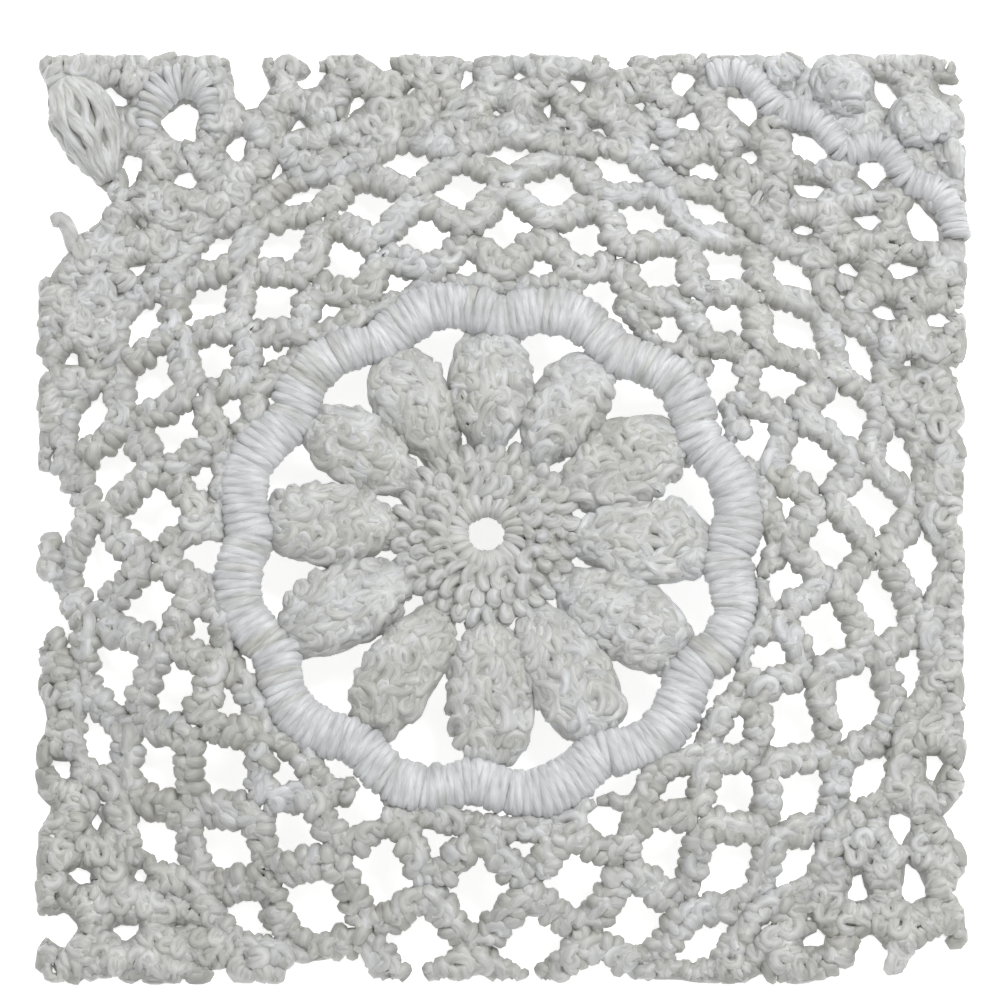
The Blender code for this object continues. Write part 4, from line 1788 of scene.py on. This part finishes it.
@dataclass(frozen=True)
class Studio:
    """The plain pale floor, the soft light and the camera."""

    field_mm: float = 130.0
    distance_mm: float = 700.0
    elevation: float = 76.0
    aim_mm: tuple[float, float, float] = (0.0, -1.03, 0.0)
    aside_mm: float = -0.325
    raised_mm: float = 2.47
    sensor_mm: float = 36.0
    floor_size_m: float = 3.0
    floor_colour: tuple[float, float, float, float] = (0.93, 0.93, 0.925, 1.0)
    floor_glow: float = 0.6
    floor_roughness: float = 0.9
    floor_gloss: float = 0.1
    fill_colour: tuple[float, float, float, float] = (0.99, 0.995, 1.0, 1.0)
    fill_strength: float = 0.72
    lamp_place_m: tuple[float, float, float] = (0.3, 0.35, 0.9)
    lamp_size_m: float = 0.45
    lamp_watts: float = 6.2
    lamp_colour: tuple[float, float, float] = (1.0, 0.995, 0.98)
    nearest_m: float = 0.01
    farthest_m: float = 20.0

    def floor(self) -> bpy.types.Object:
        """Lays the plain pale floor, just under the doily.

        Returns:
            The floor.
        """
        half = self.floor_size_m / 2
        mesh = bpy.data.meshes.new("studio_floor")
        corners = [(-half, -half, 0.0), (half, -half, 0.0), (half, half, 0.0), (-half, half, 0.0)]
        mesh.from_pydata(corners, [], [(0, 1, 2, 3)])
        made = bpy.data.objects.new("studio_floor", mesh)
        bpy.context.scene.collection.objects.link(made)
        finish = bpy.data.materials.new("pale_floor")
        finish.use_nodes = True
        shader = finish.node_tree.nodes["Principled BSDF"]
        shader.inputs["Base Color"].default_value = self.floor_colour
        shader.inputs["Emission Color"].default_value = (1.0, 1.0, 1.0, 1.0)
        shader.inputs["Emission Strength"].default_value = self.floor_glow
        shader.inputs["Roughness"].default_value = self.floor_roughness
        shader.inputs["Specular IOR Level"].default_value = self.floor_gloss
        mesh.materials.append(finish)
        return made

    def lights(self) -> None:
        """A large soft light from the upper right and an even fill from all round."""
        world = bpy.data.worlds.new("studio")
        world.use_nodes = True
        background = world.node_tree.nodes["Background"]
        background.inputs["Color"].default_value = self.fill_colour
        background.inputs["Strength"].default_value = self.fill_strength
        bpy.context.scene.world = world
        lamp = bpy.data.lights.new("window_light", "AREA")
        lamp.shape = "DISK"
        lamp.size = self.lamp_size_m
        lamp.energy = self.lamp_watts
        lamp.color = self.lamp_colour
        made = bpy.data.objects.new("window_light", lamp)
        made.location = self.lamp_place_m
        made.rotation_euler = self._towards(np.array(made.location))
        bpy.context.scene.collection.objects.link(made)

    def _towards(self, place: Array) -> tuple[float, float, float]:
        """Turns a lamp to the origin.

        Args:
            place: the lamp's place.

        Returns:
            Its rotation, in radians.
        """
        x, y, z = -place
        flat = math.hypot(x, y)
        return (math.atan2(flat, -z), 0.0, math.atan2(y, x) - math.pi / 2)

    def camera(self) -> bpy.types.Object:
        """Sets up the camera, at the photograph's angle.

        Returns:
            The camera.
        """
        tilt = math.radians(self.elevation)
        back = np.array([0.0, -math.cos(tilt), math.sin(tilt)])
        up = np.array([0.0, math.sin(tilt), math.cos(tilt)])
        place = np.array(self.aim_mm) + self.distance_mm * back + self.raised_mm * up
        place[0] += self.aside_mm
        lens = bpy.data.cameras.new("camera")
        lens.sensor_width = self.sensor_mm
        lens.lens = self.sensor_mm * self.distance_mm / self.field_mm
        lens.clip_start = self.nearest_m
        lens.clip_end = self.farthest_m
        made = bpy.data.objects.new("camera", lens)
        made.location = place * MM
        made.rotation_euler = (math.pi / 2 - tilt, 0.0, 0.0)
        bpy.context.scene.collection.objects.link(made)
        bpy.context.scene.camera = made
        return made


def net_edge() -> CutEdge:
    """The cloth's cut edge with its bays, and the small openings of the close work.

    A row of the edge is x and y. A row of openings is x, y, half length, half width and turn.

    Returns:
        The edge, with every opening of the close work.
    """
    bottom = (
        (-58.9, -61.8), (-52.1, -61.8), (-51.1, -61.1), (-48.8, -61.1), (-47.6, -61.8), (-37.4, -61.8),
        (-36.9, -60.0), (-35.3, -60.0), (-34.1, -61.8), (-27.5, -61.8), (-26.2, -59.5), (-20.6, -59.3),
        (-18.1, -60.3), (-16.8, -61.8), (30.8, -61.8), (33.0, -60.0), (34.0, -61.8), (38.2, -61.8),
        (44.4, -60.2), (45.0, -56.6), (46.8, -55.5), (48.3, -56.0), (47.1, -60.2), (48.6, -60.9),
        (50.9, -60.6), (51.5, -58.8), (53.4, -57.0), (56.1, -55.7), (57.2, -57.7), (58.8, -56.8),
    )
    right = (
        (58.7, -52.1), (57.8, -51.1), (57.7, -48.9), (58.8, -47.6), (58.9, -40.0), (59.7, -1.6),
        (60.2, 18.0), (60.8, 45.0), (61.0, 59.4), (60.4, 61.3), (59.0, 61.9),
    )
    top = (
        (-31.9, 61.9), (-31.6, 60.4), (-30.5, 57.9), (-31.8, 55.1), (-33.6, 54.2), (-35.5, 56.0),
        (-35.9, 59.0), (-36.4, 61.9), (-61.2, 61.9),
    )
    left = (
        (-61.2, 60.5), (-60.0, 57.4), (-59.9, 52.6), (-56.6, 47.1), (-52.5, 43.8), (-51.1, 41.6),
        (-52.9, 38.8), (-55.8, 37.0), (-57.7, 35.9), (-57.9, 33.1), (-59.2, 31.1), (-60.6, 30.7),
        (-60.3, 15.0), (-60.0, -1.6), (-59.6, -24.4), (-58.7, -26.1), (-58.4, -29.1), (-59.5, -30.7),
        (-59.3, -38.9), (-57.7, -39.5), (-57.6, -40.8), (-59.3, -41.9), (-59.1, -52.1),
    )
    upper_right = (
        (31.8, 54.5, 2.6, 1.7, -45), (40.3, 49.0, 3.0, 1.8, -35), (48.9, 45.7, 2.5, 2.0, 20),
        (55.2, 38.6, 3.3, 1.8, -60), (32.6, 48.0, 1.3, 1.1, 0), (26.9, 46.0, 1.8, 1.2, -20),
        (33.7, 42.2, 1.1, 0.9, 0), (40.2, 43.3, 2.4, 1.1, -10), (39.6, 37.7, 1.9, 0.8, -5),
        (48.0, 39.0, 2.1, 1.1, -5), (45.4, 32.4, 1.6, 1.0, -30), (52.5, 32.2, 2.3, 1.2, 0),
        (50.1, 26.5, 1.8, 1.2, -20), (57.0, 25.4, 1.9, 1.1, 0), (41.5, 60.8, 1.9, 0.9, -10),
        (50.6, 56.6, 2.6, 1.4, -60), (58.9, 57.4, 1.8, 0.9, -15), (61.0, 50.1, 1.4, 0.8, 90),
        (23.9, 58.1, 2.1, 1.6, 50), (24.6, 52.6, 1.8, 1.3, 0), (53.2, 19.5, 1.2, 0.7, -20),
        (59.2, 18.3, 1.4, 0.9, -20),
    )
    upper_left = (
        (-51.4, 56.0, 2.1, 1.2, -35), (-42.4, 52.5, 2.8, 2.6, 90), (-48.8, 46.2, 2.4, 1.5, 85),
        (-41.8, 44.6, 1.7, 1.3, 0), (-35.1, 49.0, 1.9, 1.5, 80), (-47.5, 38.6, 1.3, 0.8, 20),
        (-29.7, 45.7, 1.5, 0.7, 70), (-47.8, 32.5, 1.3, 0.9, 20), (-56.3, 20.1, 1.5, 1.0, 30),
    )
    top_band = (
        (-25.4, 58.5, 2.4, 1.1, 20), (-19.4, 54.9, 1.9, 0.9, 60), (-27.0, 52.1, 1.5, 0.7, 25),
        (-22.0, 49.5, 0.9, 0.5, 0), (-4.7, 58.5, 1.7, 0.9, 60), (2.3, 59.1, 1.1, 0.8, 10),
        (10.2, 57.8, 1.4, 1.0, -20), (-0.7, 54.0, 0.9, 0.6, 20), (5.9, 54.2, 1.4, 0.8, 80),
        (-12.0, 57.0, 1.5, 0.4, 35), (-7.9, 53.9, 1.3, 0.4, -40), (18.0, 54.9, 1.2, 0.8, 0),
        (12.9, 51.3, 1.4, 0.8, -40), (20.0, 49.2, 0.9, 0.7, 0), (15.4, 60.7, 1.7, 0.9, -20),
        (-25.3, 61.4, 1.8, 0.9, 0), (-16.0, 61.2, 1.9, 1.3, -20),
    )
    lower = (
        (-56.2, -34.4, 1.6, 1.1, 120), (-52.0, -41.3, 1.5, 0.8, 115), (-53.8, -48.3, 1.9, 1.2, -35),
        (-46.4, -48.2, 1.3, 0.8, -50), (-56.5, -55.0, 2.6, 2.2, -30), (-47.9, -55.3, 1.9, 1.2, 10),
        (-41.2, -54.9, 0.7, 0.6, 0), (50.8, -41.9, 2.1, 1.6, 90), (55.3, -34.0, 1.9, 1.3, 90),
        (57.7, -41.1, 2.6, 1.3, 90), (45.3, -49.9, 2.1, 1.3, 90), (52.3, -49.5, 2.6, 1.6, 95),
        (39.8, -56.4, 1.8, 1.2, 20),
    )
    by_ring = (
        (12.6, 25.4, 2.6, 1.8, 80), (28.2, 14.6, 2.1, 1.9, 30), (32.0, 5.9, 1.9, 1.4, -10),
        (-37.8, -8.0, 2.1, 1.3, 90), (-17.0, -40.4, 2.7, 1.7, 110), (12.8, -42.0, 2.3, 1.1, 10),
        (33.0, -22.0, 1.4, 1.1, 0), (35.2, -12.2, 2.1, 1.3, 90), (21.2, 21.0, 1.7, 1.1, -20),
    )
    left_bays = ((-60.0, 0.7, 4.3, 2.2, 90), (-60.0, -13.7, 4.0, 2.6, 90))
    rows = upper_right + upper_left + top_band + lower + by_ring + left_bays
    return CutEdge(np.array(bottom + right + top + left), tuple(Opening(*row) for row in rows))


def main() -> None:
    """Builds the doily, its floor, its light and its camera, and reports each piece."""
    logging.basicConfig(level=logging.INFO, format="%(name)s %(message)s")
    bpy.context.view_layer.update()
    bpy.context.scene.view_settings.view_transform = "Standard"
    studio = Studio()
    floor = studio.floor()
    studio.lights()
    studio.camera()
    rng = np.random.default_rng(SEED)
    dome = Dome()
    net_finish = CottonFinish("net_cotton").material()
    cord_finish = CottonFinish("cord_cotton", shade=CottonShade.COOL).material()
    petal_finish = CottonFinish("petal_cotton").material()
    right = RightCorner(dome)
    left = LeftCorner(dome)
    edge = net_edge()
    under = Yarn("net_cords", sides=5, edge=edge)
    pieces = Net(dome, edge).build(under, net_finish, rng)
    pieces += CloseWork(dome, edge).build(under, net_finish, rng)
    cords = under.piece(net_finish, "net", ["net_ground"])
    ring = RingCord(dome)
    pieces.append(ring.build(cord_finish, rng))
    flower = Flower(dome, ring)
    pieces += flower.build_petals(petal_finish, rng)
    pieces.append(flower.build_disc(petal_finish, rng))
    pieces.append(right.build_cord(cord_finish, rng))
    pieces += right.build_puffs(petal_finish, rng)
    pieces.append(left.build_leaf(petal_finish, rng))
    pieces.append(left.build_arch(cord_finish, rng))
    pieces.append(left.build_band(net_finish, rng))
    log.info("pieces: %d", len(pieces) + 1)


if __name__ == "__main__":
    main()
